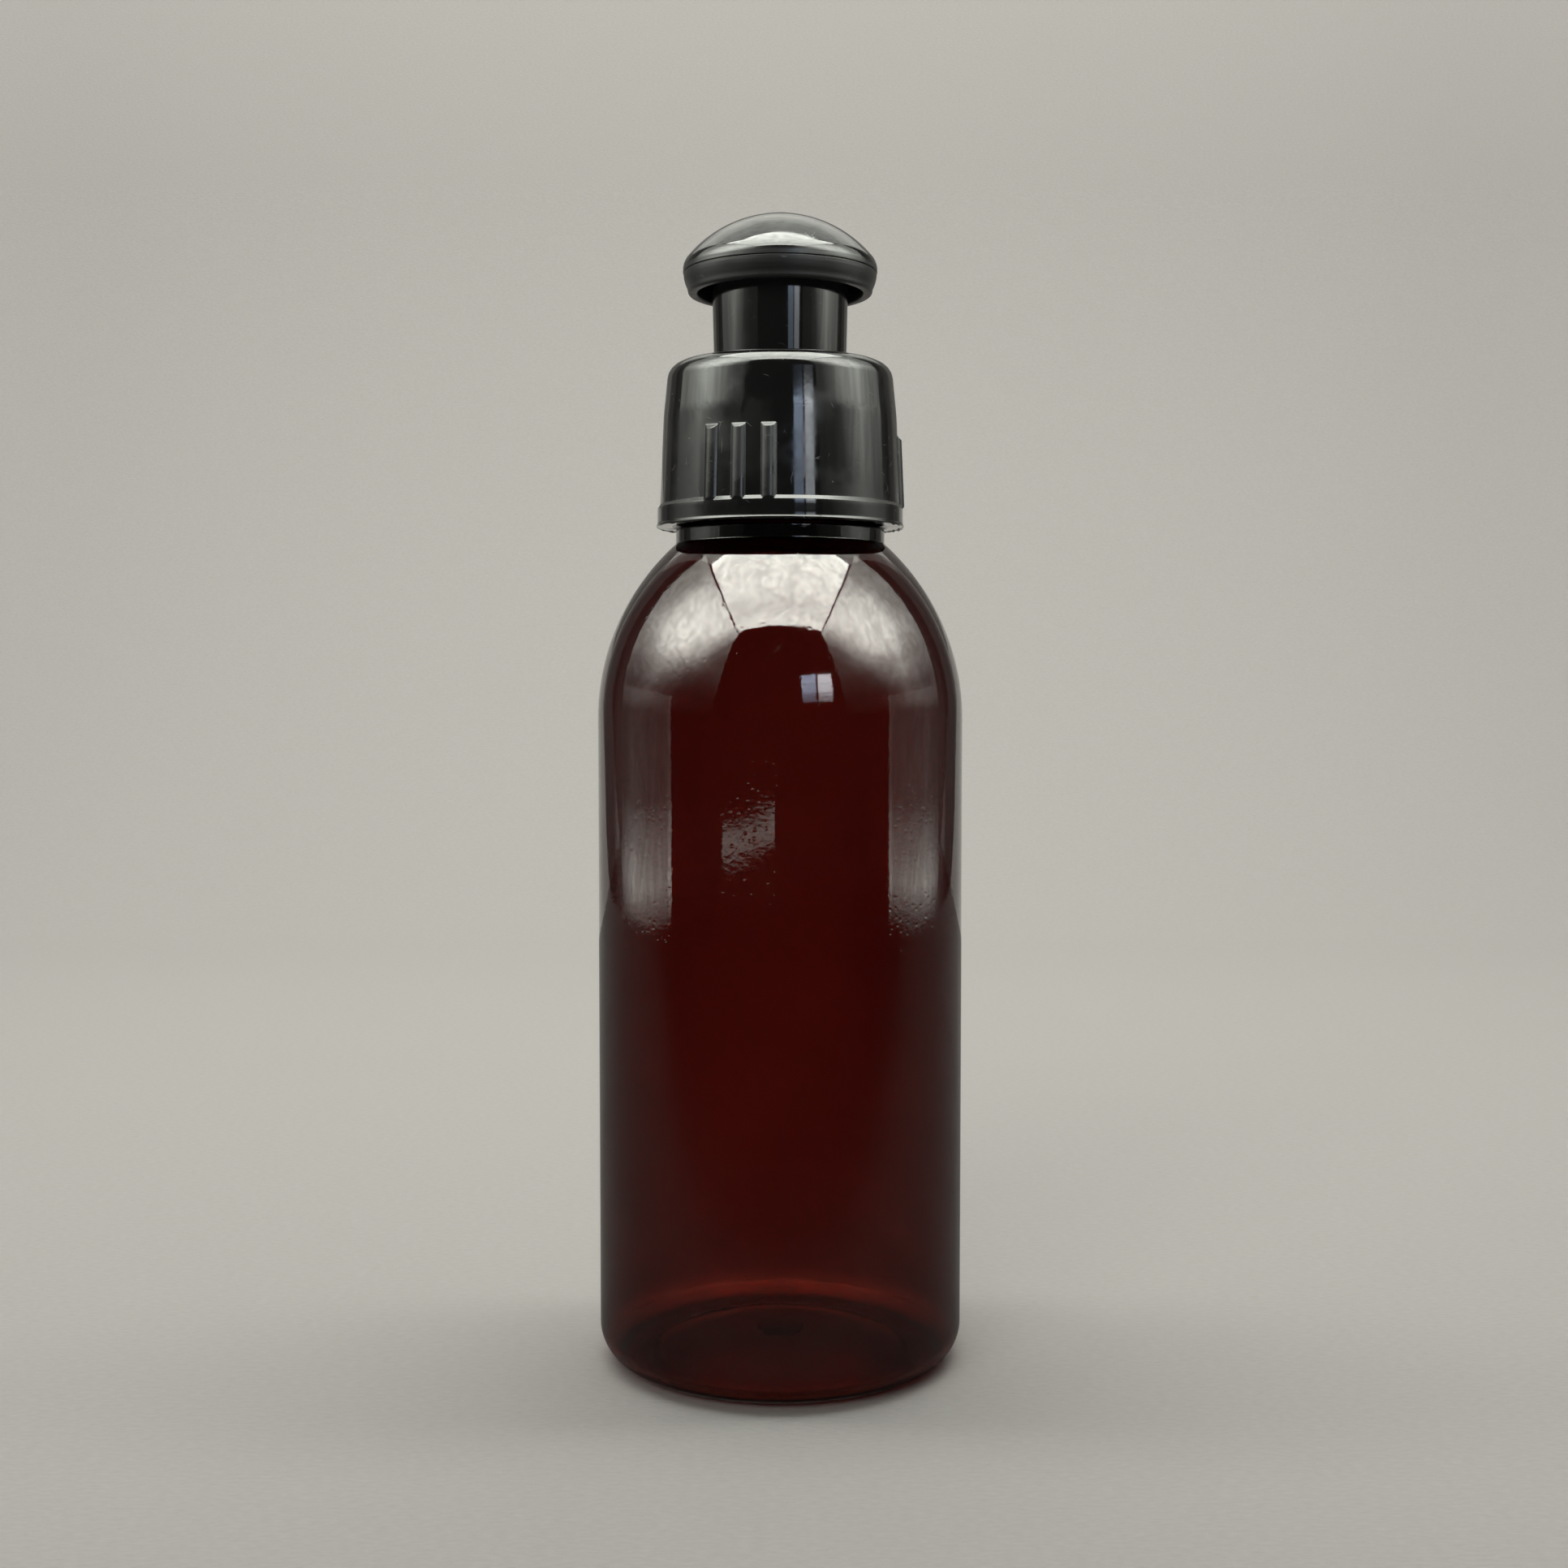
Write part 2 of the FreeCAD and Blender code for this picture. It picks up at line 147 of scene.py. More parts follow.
def turned_object(name, radius, height, angles, quads, walls=(), poles=None, mask=None, sharp=35):
    """A mesh with points (radius cos a, radius sin a, height), for rows of an outline and columns of angles.

    poles gives the heights on the axis where the first and last row close to a point; without it the outline is
    a loop. walls holds more quads, and mask a number for each grid point, kept as the attribute "finish".
    """
    columns = len(angles)
    grid = (len(height), columns)
    radius = np.broadcast_to(radius.reshape(len(height), -1), grid)
    z = np.broadcast_to(height.reshape(len(height), -1), grid)
    points = np.stack([radius * np.cos(angles), radius * np.sin(angles), z], axis=-1).reshape(-1, 3)
    faces = quads.reshape(-1, 4).tolist() + list(walls)
    finish = np.zeros(grid) if mask is None else np.broadcast_to(mask, grid)
    finish = finish.ravel()
    if poles is not None:
        count = len(points)
        points = np.vstack([points, [[0, 0, poles[0]], [0, 0, poles[1]]]])
        finish = np.append(finish, [0, 0])
        j = np.arange(columns)
        ring = np.roll(j, -1)
        top = (len(height) - 1) * columns
        faces += np.column_stack([np.full(columns, count), ring, j]).tolist()
        faces += np.column_stack([np.full(columns, count + 1), top + j, top + ring]).tolist()
    used = np.zeros(len(points), bool)
    used[np.concatenate([np.ravel(face) for face in faces])] = True
    renumber = np.cumsum(used) - 1
    faces = [renumber[face].tolist() for face in faces]
    points, finish = points[used], finish[used]
    mesh = bpy.data.meshes.new(name)
    mesh.from_pydata((points * MM).tolist(), [], faces)
    mesh.attributes.new("finish", "FLOAT", "POINT").data.foreach_set("value", finish.astype(np.float32))
    mesh.shade_smooth()
    mesh.set_sharp_from_angle(angle=math.radians(sharp))
    piece = bpy.data.objects.new(name, mesh)
    bpy.context.scene.collection.objects.link(piece)
    mesh.calc_loop_triangles()
    size = np.ptp(points, axis=0)
    print(f"{name}: {len(mesh.loop_triangles)} triangles, {size[0]:.2f} x {size[1]:.2f} x {size[2]:.2f} mm")
    return piece


# %% [markdown]
# ## The screw thread as a change of radius
# A thread could be a swept profile joined by a Boolean, which often leaves bad faces. Here the neck's own
# surface rises instead: at each grid point the height above the nearest turn of the helix is looked up in a
# trapezoid. The ends rise from nothing over a short turn, as on a real neck.

# %% Height of a thread ridge
RUN_OUT = 0.07


def thread_ridge(angles, z, start, base, crest, depth):
    """Ridge height at angle a and height z.

    The helix climbs one pitch a turn from start, so its turn nearest to z is number t = a / 360 + k, where k
    rounds (z - start) / pitch - a / 360. The height falls linearly from depth at half the crest's width to
    nothing at half the base's width, and t eases it in and out at the thread's two ends.
    """
    turn = np.mod(angles, 2 * np.pi)[None, :] / (2 * np.pi)
    k = np.round((z[:, None] - start) / PITCH - turn)
    t = turn + k
    away = np.abs(z[:, None] - start - PITCH * t)
    rise = np.clip((base / 2 - away) / ((base - crest) / 2), 0, 1)
    ends = np.clip(np.minimum(t, TURNS - t) / RUN_OUT, 0, 1)
    return depth * rise * ends * ends * (3 - 2 * ends)


# %% [markdown]
# ## The bottle
# The real bottle is blown from a thick preform: a thin body, a round shoulder, a thick neck with its thread and
# support ring, and a base that is pushed up in the middle so that it stands on a ring. It is see-through, so
# the inner wall matters as much as the outer one. One outline goes out along the underside, up the outside,
# over the land and down the inside, and gives a closed shell with a real wall. Blowing stretches the plastic
# most at the heel, so the wall is thinnest there.

# %% Bottle outline
base_r = BODY_R - BASE_CORNER
ring_inner = base_r - BASE_RING
push_r = (ring_inner**2 + PUSH_UP**2) / (2 * PUSH_UP)
push_z = PUSH_UP - push_r
floor_r = push_r + WALL
inner_shoulder = SHOULDER_R - WALL
gate_z = push_z + math.sqrt(push_r**2 - GATE_R**2)
flat_r = math.sqrt(floor_r**2 - (WALL - push_z) ** 2)
ring_angle = math.degrees(math.acos((NECK_RING_R - shoulder_axis) / SHOULDER_R))
throat_angle = math.degrees(math.acos((BORE_R - shoulder_axis) / inner_shoulder))


def angle_at(r, radius):
    """The angle in degrees at which a circle of that radius, centred on the axis, is r from it."""
    return math.degrees(math.acos(r / radius))


heel_r = BASE_CORNER - HEEL_WALL
heel_turn = angle_at(BODY_R - WALL - base_r, heel_r)
bottle_outline = softened([
    (0.9, gate_z - GATE_DROP, 0),
    (GATE_R, gate_z - GATE_DROP, 0.15),
    (GATE_R, gate_z, 0.15),
    plain(arc((0, push_z), push_r, angle_at(GATE_R + 0.6, push_r), angle_at(ring_inner - 0.7, push_r), 14)),
    (ring_inner, 0, 0.5),
    plain(arc((base_r, BASE_CORNER), BASE_CORNER, -90, 0, 22)),
    plain(run((BODY_R, BASE_CORNER + 1), (BODY_R, STRAIGHT_TOP - 1), 24)),
    plain(arc((shoulder_axis, STRAIGHT_TOP), SHOULDER_R, 0, ring_angle - 1, 48)),
    (NECK_RING_R, neck_base, 0.2),
    (NECK_RING_R, ring_top, 0.25),
    (NECK_R, ring_top, 0.2),
    plain(run((NECK_R, ring_top + 0.6), (NECK_R, land - 0.7), 100)),
    (NECK_R, land, 0.4),
    (BORE_R, land, 0.25),
    plain(arc((shoulder_axis, STRAIGHT_TOP), inner_shoulder, throat_angle - 1, 0, 44)),
    plain(run((BODY_R - WALL, STRAIGHT_TOP - 1), (BODY_R - WALL, BASE_CORNER), 24)),
    (BODY_R - WALL, BASE_CORNER - heel_r * math.sin(math.radians(heel_turn)), 2.0),
    plain(arc((base_r, BASE_CORNER), heel_r, -heel_turn - 8, -80, 16)),
    plain(arc((0, push_z), floor_r, angle_at(flat_r, floor_r), angle_at(0.9, floor_r), 16)),
])
print(f"bottle outline has {len(bottle_outline)} rows")

# %% Bottle surface with its thread and an uneven inner wall
WALL_UNEVEN, EASE = 0.05, 12
THREAD_DROP, THREAD_FOOT, THREAD_CREST = 1.4, 1.5, 0.7
bottle_angles = np.linspace(0, 2 * np.pi, 240, endpoint=False)
rows_r, rows_z = bottle_outline.T
thread_top = land - THREAD_DROP - THREAD_FOOT / 2
on_neck = (np.abs(rows_r - NECK_R) < 1e-6) & (rows_z > ring_top) & (rows_z < land)
ridge = thread_ridge(
    bottle_angles, rows_z, thread_top - TURNS * PITCH, THREAD_FOOT, THREAD_CREST, THREAD_R - NECK_R)


def wall_swell(angles, z):
    """How far the blown wall is thicker than its mean: three slow waves round and along the body.

    Each wave is sin(n a + p + z / l). The sum is eased to nothing at the base and at the neck.
    """
    turns, starts, lengths = np.array([2, 3, 5]), np.array([0.4, 2.1, 4.4]), np.array([19.0, -11.0, 7.0])
    phase = turns * angles[None, :, None] + starts + z[:, None, None] / lengths
    ease = np.clip((z - BASE_CORNER) / EASE, 0, 1) * np.clip((neck_base - z) / EASE, 0, 1)
    return WALL_UNEVEN * np.sin(phase).mean(-1) * ease[:, None]


inner_rows = np.arange(len(rows_r)) > np.flatnonzero(rows_z == rows_z.max())[-1]
bottle_radius = rows_r[:, None] + np.where(on_neck[:, None], ridge, 0)
bottle_radius = bottle_radius - np.where(inner_rows[:, None], wall_swell(bottle_angles, rows_z), 0)
bottle = turned_object(
    "bottle_shell", bottle_radius, rows_z, bottle_angles,
    grid_quads(len(rows_r), len(bottle_angles), False), poles=(gate_z - GATE_DROP, PUSH_UP + WALL))
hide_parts("bottle")
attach(bottle, "bottle")

# %% [markdown]
# ## The screw closure
# The closure is one black moulding: a skirt with three groups of grip ribs above a flange, a top with a round
# edge, and inside it the well that guides the stem, the spout tube and the stopper pin. The outline is written
# in three runs, so that the corners that are seen get more rows than those that are hidden.

# %% Closure sizes
GAP, CLOSURE_HIGH, FLANGE_HIGH, LEDGE_RISE, RIBS_HIGH, BREAK_HIGH = 0.2, 18.6, 2.1, 0.4, 10.4, 12.5
LINER, STEM_SHOWN, BAND_HIGH, HEAD_SIDE, LIP_HIGH, BEAD_GAP = 0.8, 7.9, 2.35, 0.4, 0.8, 0.05
FLOOR_ROOM, SPOUT_ROOM = 0.4, 3.0
closure_base = ring_top + GAP
closure_top = closure_base + CLOSURE_HIGH
flange_top = closure_base + FLANGE_HIGH
seat = land + LINER
SKIRT_R, BREAK_R, TOP_R, FLANGE_R, SKIRT_BORE = 13.8, 13.35, 12.75, 14.2, 12.05
WELL_OUT, WELL_IN, SPOUT_R, BEAD_R, SPOUT_BORE = 8.95, 7.95, 5.95, 6.2, 4.85
STOPPER_R, STOPPER_CORE, STOPPER_WALL = 2.25, 1.25, 1.0
WINDOW_IN, WINDOW_OUT = 2.8, 4.6
GROOVE_IN, GROOVE_OUT = 11.1, 11.8
SLEEVE_DEEP, PULL, TOP_PLATE, PLATE = 3.2, 4.5, 1.3, 1.2
HEAD_R, EDGE_R, CROWN_R, HEAD_WALL = 11.1, 2.0, 13.9, 1.4
SLEEVE_BORE, ORIFICE_RIM_R, ORIFICE_DISH = 6.3, 2.85, 0.45
ledge = flange_top + LEDGE_RISE
rib_top = closure_base + RIBS_HIGH
skirt_break = closure_base + BREAK_HIGH
sleeve = closure_top - SLEEVE_DEEP
well_floor = sleeve - PULL - FLOOR_ROOM
bead_z = sleeve + LIP_HIGH + BEAD_GAP
rim = closure_top + STEM_SHOWN
seam = rim + BAND_HIGH
crown_edge = seam + HEAD_SIDE
crown_z = crown_edge - math.sqrt((CROWN_R - EDGE_R) ** 2 - (HEAD_R - EDGE_R) ** 2)
CEILING_R = CROWN_R - HEAD_WALL
orifice_rim = crown_z + math.sqrt(CROWN_R**2 - ORIFICE_RIM_R**2)
stopper_top = orifice_rim - ORIFICE_DISH - PULL


def ceiling(r):
    """Height of the head's inner dome at distance r from the axis."""
    return crown_z + math.sqrt(CEILING_R**2 - r**2)


spout_top = ceiling(SLEEVE_BORE) - PULL - SPOUT_ROOM
spout_under = spout_top - PLATE
print(f"closure from {closure_base:.2f} to {closure_top:.2f}, head seam at {seam:.2f} mm")

# %% Closure outline
skirt_lean = (SKIRT_R - BREAK_R) / (skirt_break - ledge)


def skirt_at(z):
    """A point of the skirt's leaning wall between the ledge and the break above the ribs."""
    return SKIRT_R - skirt_lean * (z - ledge), z


# The flange's lower edge is a small bead, given as steps out and up from the flange's corner.
FLASH_BEAD = np.array([
    (-0.075, 0.36), (-0.05, 0.30), (-0.01, 0.22), (0.02, 0.14), (0.02, 0.08), (-0.01, 0.03), (-0.06, 0.0),
    (-0.12, 0.02), (-0.18, 0.05), (-0.40, 0.05)])
spout_run = softened([
    (0.8, stopper_top, 0),
    (STOPPER_R, stopper_top, 0.3),
    (STOPPER_R, spout_top, 0.2),
    plain(run((WINDOW_IN, spout_top), (WINDOW_OUT, spout_top), 4)),
    (SPOUT_R, spout_top, 0.3),
    (SPOUT_R, bead_z + 0.9, 0),
    (BEAD_R, bead_z + 0.65, 0),
    (BEAD_R, bead_z, 0),
    (SPOUT_R, bead_z, 0),
    (SPOUT_R, well_floor, 0.4),
    (WELL_IN, well_floor, 0.4),
    (WELL_IN, closure_top, 0.3),
    (WELL_IN + 1.2, closure_top, 0),
], steps=3)
skirt_run = softened([
    (WELL_IN + 1.6, closure_top, 0),
    (TOP_R, closure_top, 1.9),
    (BREAK_R, skirt_break, 20),
    plain(run(skirt_at(rib_top + 0.6), skirt_at(rib_top + 0.1), 4)),
    plain(run(skirt_at(rib_top), skirt_at(rib_top - 0.7), 15)),
    plain(run(skirt_at(rib_top - 1.2), skirt_at(ledge + 1.0), 7)),
    plain(run(skirt_at(ledge + 0.5), skirt_at(ledge + 0.12), 4)),
    (SKIRT_R, ledge, 0.08),
    plain(run((SKIRT_R + 0.08, ledge - 0.115), (FLANGE_R - 0.2, flange_top + 0.115), 4)),
    (FLANGE_R - 0.12, flange_top, 0.1),
    plain(run((FLANGE_R - 0.1, flange_top - 0.25), (FLANGE_R - 0.08, closure_base + 0.45), 6)),
    plain(np.array([FLANGE_R, closure_base]) + FLASH_BEAD),
    (SKIRT_BORE + 0.9, closure_base + 0.05, 0),
])
bore_run = softened([
    (SKIRT_BORE + 0.8, closure_base + 0.05, 0),
    (SKIRT_BORE + 0.4, closure_base + 0.05, 0.1),
    (SKIRT_BORE, closure_base + 0.4, 0.15),
    plain(run((SKIRT_BORE, closure_base + 0.9), (SKIRT_BORE, seat - 0.9), 40)),
    (SKIRT_BORE, seat - 0.25, 0),
    (GROOVE_OUT, seat, 0),
    (GROOVE_OUT, closure_top - TOP_PLATE, 0.15),
    (GROOVE_IN, closure_top - TOP_PLATE, 0.15),
    (GROOVE_IN, seat, 0),
    (WELL_OUT, seat, 0.15),
    (WELL_OUT, well_floor - 0.7, 0.2),
    (WELL_OUT - 0.5, well_floor - PLATE, 0.2),
    (SPOUT_BORE, well_floor - PLATE, 0.2),
    (SPOUT_BORE, spout_under, 0.12),
    plain(run((WINDOW_OUT, spout_under), (WINDOW_IN, spout_under), 4)),
    (STOPPER_CORE, spout_under, 0.15),
    (STOPPER_CORE, stopper_top - STOPPER_WALL, 0.2),
    (0.5, stopper_top - STOPPER_WALL, 0),
], steps=3)
closure_outline = np.vstack([spout_run, skirt_run, bore_run])[::-1]
print(f"closure outline has {len(closure_outline)} rows")

# %% [markdown]
# ## Grip ribs and moulding flash
# The ribs could be separate bars, but on the real closure they are part of the skirt, so they are one more
# change of radius, and the columns crowd together at each rib, where the surface bends most. Each rib is a bar
# of round section with a slope cut across its top. The flange's lower edge carries flash: the thin ragged
# fin that is left where two halves of a worn mould don't quite close.

# %% Columns round the closure
RIB_STEP, RIB_MIDDLE, RIB_WIDE, RIB_PROUD = 14.2, -19.4, 1.66, 0.45
rib_bar = (RIB_WIDE**2 / 4 + RIB_PROUD**2) / (2 * RIB_PROUD)
rib_places = (np.arange(3)[:, None] * 120 + (np.arange(3) - 1)[None, :] * RIB_STEP + RIB_MIDDLE - 90).ravel()
half_angle = math.degrees(RIB_WIDE / 2 / SKIRT_R)
crowd = np.array([0, 0.25, 0.48, 0.66, 0.8, 0.9, 0.97, 1.03, 1.12, 1.26]) * half_angle
crowd = np.concatenate([-crowd[:0:-1], crowd])
spread = np.arange(0, 360, 1.2)
spread = spread[np.abs((spread[:, None] - rib_places + 180) % 360 - 180).min(1) > half_angle * 1.4]
closure_degrees = np.concatenate([(rib_places[:, None] + crowd).ravel(), spread])
closure_angles = np.radians(np.unique(np.round(np.mod(closure_degrees, 360), 4)))
print(f"{len(closure_angles)} columns for {len(rib_places)} ribs")

# %% Ribs, thread and flash on the closure's grid
RIB_RUBBED, LEDGE_WORN, WORN_WIDE = 0.55, 0.6, 0.22
FLASHES, FLASH_LEAST, FLASH_MORE = 120, 0.02, 0.2
INNER_DROP, INNER_FOOT, INNER_CREST, INNER_DEEP = 1.4, 1.3, 0.6, 1.0
RIB_NEAR, RIB_BLEND, RUB_FROM = 0.15, 0.03, 0.12


def smooth_max(a, b, blend):
    """The larger of a and b, rounded where they cross: (a + b + sqrt((a - b)^2 + blend^2)) / 2."""
    return (a + b + np.sqrt((a - b) ** 2 + blend**2)) / 2


def rib_radius(angles, z):
    """Outer radius of the ribs: bars of round section that lean with the skirt.

    At distance x from a rib's middle the bar stands sqrt(bar^2 - x^2) - (bar - proud) out of the skirt. A slope
    of 45 degrees cuts its top, and a slope that ends at the flange's upper edge cuts its foot.
    """
    off = (np.degrees(angles)[:, None] - rib_places + 180) % 360 - 180
    x = np.radians(np.abs(off).min(1))[None, :] * SKIRT_R
    bar = np.sqrt(np.maximum(rib_bar**2 - x**2, 0)) - (rib_bar - RIB_PROUD)
    bar = np.where(x < rib_bar, bar, -1.0)
    wall = SKIRT_R + skirt_lean * (ledge - z)[:, None]
    top = wall + (rib_top - 0.05 - z)[:, None]
    foot = FLANGE_R - 0.12 + 0.6 * (z - flange_top)[:, None]
    return np.minimum(np.minimum(wall + bar, top), foot)


def flash_drop(angles):
    """How far the flash hangs below the flange: the highest of many narrow bells h exp(-(a - m)^2 / w^2)."""
    rng = np.random.default_rng(11)
    middles, widths = rng.uniform(0, 360, FLASHES), rng.uniform(0.7, 3.0, FLASHES)
    heights = FLASH_LEAST + FLASH_MORE * rng.uniform(0, 1, FLASHES) ** 3
    away = (np.degrees(angles)[:, None] - middles + 180) % 360 - 180
    return (heights * np.exp(-((away / widths) ** 2))).max(1)


rows_r, rows_z = closure_outline.T
outside = (rows_r > BREAK_R - 1e-6) & (rows_z > closure_base + 1.2) & (rows_z < rib_top + 0.4)
ribs = rib_radius(closure_angles, rows_z)
closure_radius = np.repeat(rows_r[:, None], len(closure_angles), axis=1)
on_rib = outside[:, None] & (ribs > closure_radius - RIB_NEAR)
closure_radius = np.where(on_rib, smooth_max(closure_radius, ribs, RIB_BLEND), closure_radius)
rib_face = RIB_RUBBED * np.clip((closure_radius - rows_r[:, None]) / RUB_FROM, 0, 1)
worn_edge = LEDGE_WORN * np.exp(-(((rows_z - flange_top - LEDGE_RISE / 2) / WORN_WIDE) ** 2))
worn_edge = worn_edge * (rows_r > SKIRT_R - 0.1)
rib_face = np.maximum(rib_face, worn_edge[:, None])
in_bore = (np.abs(rows_r - SKIRT_BORE) < 1e-6) & (rows_z < seat - 0.8) & (rows_z > closure_base + 0.8)
inner_start = thread_top - INNER_DROP - TURNS * PITCH
inner_ridge = thread_ridge(closure_angles, rows_z, inner_start, INNER_FOOT, INNER_CREST, INNER_DEEP)
closure_radius = closure_radius - np.where(in_bore[:, None], inner_ridge, 0)
fin = np.clip(1 - np.abs(rows_r - FLANGE_R + 0.07) / 0.07, 0, 1) * (rows_z < closure_base + 0.08)
closure_height = rows_z[:, None] - fin[:, None] * flash_drop(closure_angles)
print(f"flash hangs down by up to {flash_drop(closure_angles).max():.2f} mm")

# %% [markdown]
# ## Windows in the spout
# Oil leaves the spout through three windows round the stopper pin. A Boolean could cut them, but the grid
# already has rows and columns along their edges. The quads of the windows are left out of the upper and the
# lower face of the spout's end, and walls join the two holes.

# %% Closure surface with its windows
SPOKE_HALF = 11
order = np.arange(len(rows_r))


def band_rows(z):
    """First and last row, in the outline's order, of the plate between the windows' inner and outer edge."""
    found = order[(np.abs(rows_z - z) < 1e-6) & (rows_r > WINDOW_IN - 1e-6) & (rows_r < WINDOW_OUT + 1e-6)]
    return found[0], found[-1]


def open_windows(quads, columns, upper, lower, opened):
    """Takes the quads of the opened columns out of two bands of rows and joins the two holes by walls.

    upper and lower are (first, last) rows of the bands. The upper one runs from the windows' outer edge to the
    inner one, and the lower one the other way.
    """
    keep = np.ones(quads.shape[:2], bool)
    keep[upper[0]:upper[1]] &= ~opened
    keep[lower[0]:lower[1]] &= ~opened
    here = np.flatnonzero(opened)
    after = (here + 1) % columns
    up_in, up_out, low_in, low_out = (row * columns for row in (upper[1], upper[0], lower[0], lower[1]))
    walls = [np.column_stack([up_in + after, up_in + here, low_in + here, low_in + after]),
             np.column_stack([up_out + here, up_out + after, low_out + after, low_out + here])]
    step = np.arange(upper[1] - upper[0])[:, None]
    starts, stops = here[~opened[(here - 1) % columns]], after[~opened[after]]
    for edge, turn in ((starts, 1), (stops, -1)):
        side = [(upper[1] - step) * columns + edge, (upper[1] - step - 1) * columns + edge,
                (lower[0] + step + 1) * columns + edge, (lower[0] + step) * columns + edge]
        walls.append(np.stack(side, axis=-1).reshape(-1, 4)[:, ::turn])
    return quads[keep], np.vstack(walls).tolist()


middle = np.degrees(closure_angles + np.roll(closure_angles, -1)) / 2
opened = np.abs((middle + 60) % 120 - 60) > SPOKE_HALF
opened[-1] = False
quads, walls = open_windows(
    grid_quads(len(rows_r), len(closure_angles), False), len(closure_angles),
    band_rows(spout_top), band_rows(spout_under), opened)
closure = turned_object(
    "closure_moulding", closure_radius, closure_height, closure_angles, quads, walls,
    poles=(stopper_top - STOPPER_WALL, stopper_top), mask=rib_face)
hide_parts("closure_base")
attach(closure, "closure")

# %% [markdown]
# ## The pull-up head
# Head and stem are one moulding that slides on the spout. The crown is polished, the band under its parting
# line is satin, and the two meet in a fine groove. The crown's lowest edge is rubbed dull. The outlet in the
# crown has a thin raised rim. The outline is a closed loop here, because the outlet goes right through.

# %% Head and stem surface
STEM_R, LIP_R, ORIFICE_R, RIM_WALL, GROOVE_DEEP, LIP_RISE = 7.75, 6.03, 2.3, 1.6, 0.16, 0.2
BAND_TAPER, BAND_BULGE, BAND_STEP = 0.55, 0.48, 0.06
EDGE_DULL, DULL_HIGH = 0.85, 0.45
stem_low = STEM_R - math.tan(math.radians(1.3)) * (rim - sleeve)
band_top_r = HEAD_R - BAND_STEP
band_low_r = band_top_r - BAND_TAPER
edge_turn = math.degrees(math.atan2(crown_edge - crown_z, HEAD_R - EDGE_R))
bulge = np.linspace(0, 1, 9)[1:-1]
band = np.column_stack([band_low_r + BAND_TAPER * bulge + BAND_BULGE * bulge * (1 - bulge),
                        rim + 0.45 + (seam - 0.08 - rim - 0.45) * bulge])
head_outline = softened([
    (ORIFICE_R, orifice_rim - ORIFICE_DISH, 0.1),
    (ORIFICE_R, ceiling(ORIFICE_R), 0.15),
    plain(arc((0, crown_z), CEILING_R, angle_at(ORIFICE_R + 0.6, CEILING_R), angle_at(5.5, CEILING_R), 6)),
    (SLEEVE_BORE, ceiling(SLEEVE_BORE), 0.3),
    (SLEEVE_BORE, sleeve + 0.9, 0.05),
    (BEAD_R, sleeve + LIP_HIGH, 0.05),
    (LIP_R, sleeve + LIP_HIGH, 0.05),
    (LIP_R, sleeve, 0.15),
    (stem_low, sleeve, 0.25),
    plain(run((stem_low + (STEM_R - stem_low) * 0.2, sleeve + (rim - sleeve) * 0.2), (STEM_R, rim), 8)),
    (STEM_R, ceiling(STEM_R), 0.25),
    plain(arc((0, crown_z), CEILING_R, angle_at(STEM_R + 0.8, CEILING_R),
              angle_at(HEAD_R - 1.9, CEILING_R), 5)),
    (HEAD_R - RIM_WALL, ceiling(HEAD_R - RIM_WALL), 0.15),
    (HEAD_R - RIM_WALL, rim, 0.2),
    (band_low_r, rim, 0.33),
    plain(band),
    (band_top_r, seam - 0.05, 0.03),
    (HEAD_R - GROOVE_DEEP, seam - 0.03, 0.012),
    (HEAD_R - GROOVE_DEEP, seam + 0.01, 0.012),
    (HEAD_R, seam + 0.03, 0.08),
    plain(arc((HEAD_R - EDGE_R, crown_edge), EDGE_R, 2, edge_turn, 16)),
    plain(arc((0, crown_z), CROWN_R, edge_turn + 2, angle_at(ORIFICE_RIM_R + 1.0, CROWN_R), 22)),
    (ORIFICE_RIM_R + 0.45, orifice_rim - LIP_RISE, 0.2),
    (ORIFICE_RIM_R + 0.18, orifice_rim, 0.07),
    (ORIFICE_RIM_R - 0.05, orifice_rim, 0.07),
], closed=True)
rows_r, rows_z = head_outline.T
on_band = (rows_r > HEAD_R - RIM_WALL - 0.01) & (rows_z > rim - 0.01) & (rows_z < seam - 0.02)
edge_wear = EDGE_DULL * np.clip((crown_edge + DULL_HIGH - rows_z) / DULL_HIGH, 0, 1)
edge_wear = edge_wear * (rows_r > HEAD_R - EDGE_R) * (rows_z > seam)
head_angles = np.linspace(0, 2 * np.pi, 240, endpoint=False)
head = turned_object(
    "pull_head", rows_r, rows_z, head_angles, grid_quads(len(rows_r), len(head_angles), True),
    mask=np.maximum(on_band, edge_wear)[:, None])
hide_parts("pull_top")
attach(head, "pull_top")

# %% [markdown]
# ## Node helpers
# A material is a small network of nodes. Written out node by node it is long, so one helper adds a node and
# fills its inputs, either with a number or with the output of another node. Object coordinates are in metres
# and every mesh lies where the piece is, so a noise that should have grains of one millimetre gets a scale
# of a thousand.

# %% Adding nodes and groups
MICROMETRE = 1e-6


def wire(tree, kind, inputs=None, **options):
    """Adds a shader node, sets its options, and fills its inputs with numbers or with other nodes' outputs."""
    node = tree.nodes.new("ShaderNode" + kind)
    for name, value in options.items():
        setattr(node, name, value)
    for name, value in (inputs or {}).items():
        if isinstance(value, bpy.types.NodeSocket):
            tree.links.new(value, node.inputs[name])
        else:
            node.inputs[name].default_value = value
    return node


def sum_node(tree, operation, a, b=0.0):
    """One sum, such as MULTIPLY or ADD, on two values."""
    return wire(tree, "Math", {0: a, 1: b}, operation=operation).outputs[0]


def between(tree, value, low, high, start=0.0, end=1.0):
    """Takes a value from the range low to high into start to end, eased at both ends."""
    inputs = {0: value, 1: low, 2: high, 3: start, 4: end}
    return wire(tree, "MapRange", inputs, interpolation_type="SMOOTHSTEP").outputs[0]


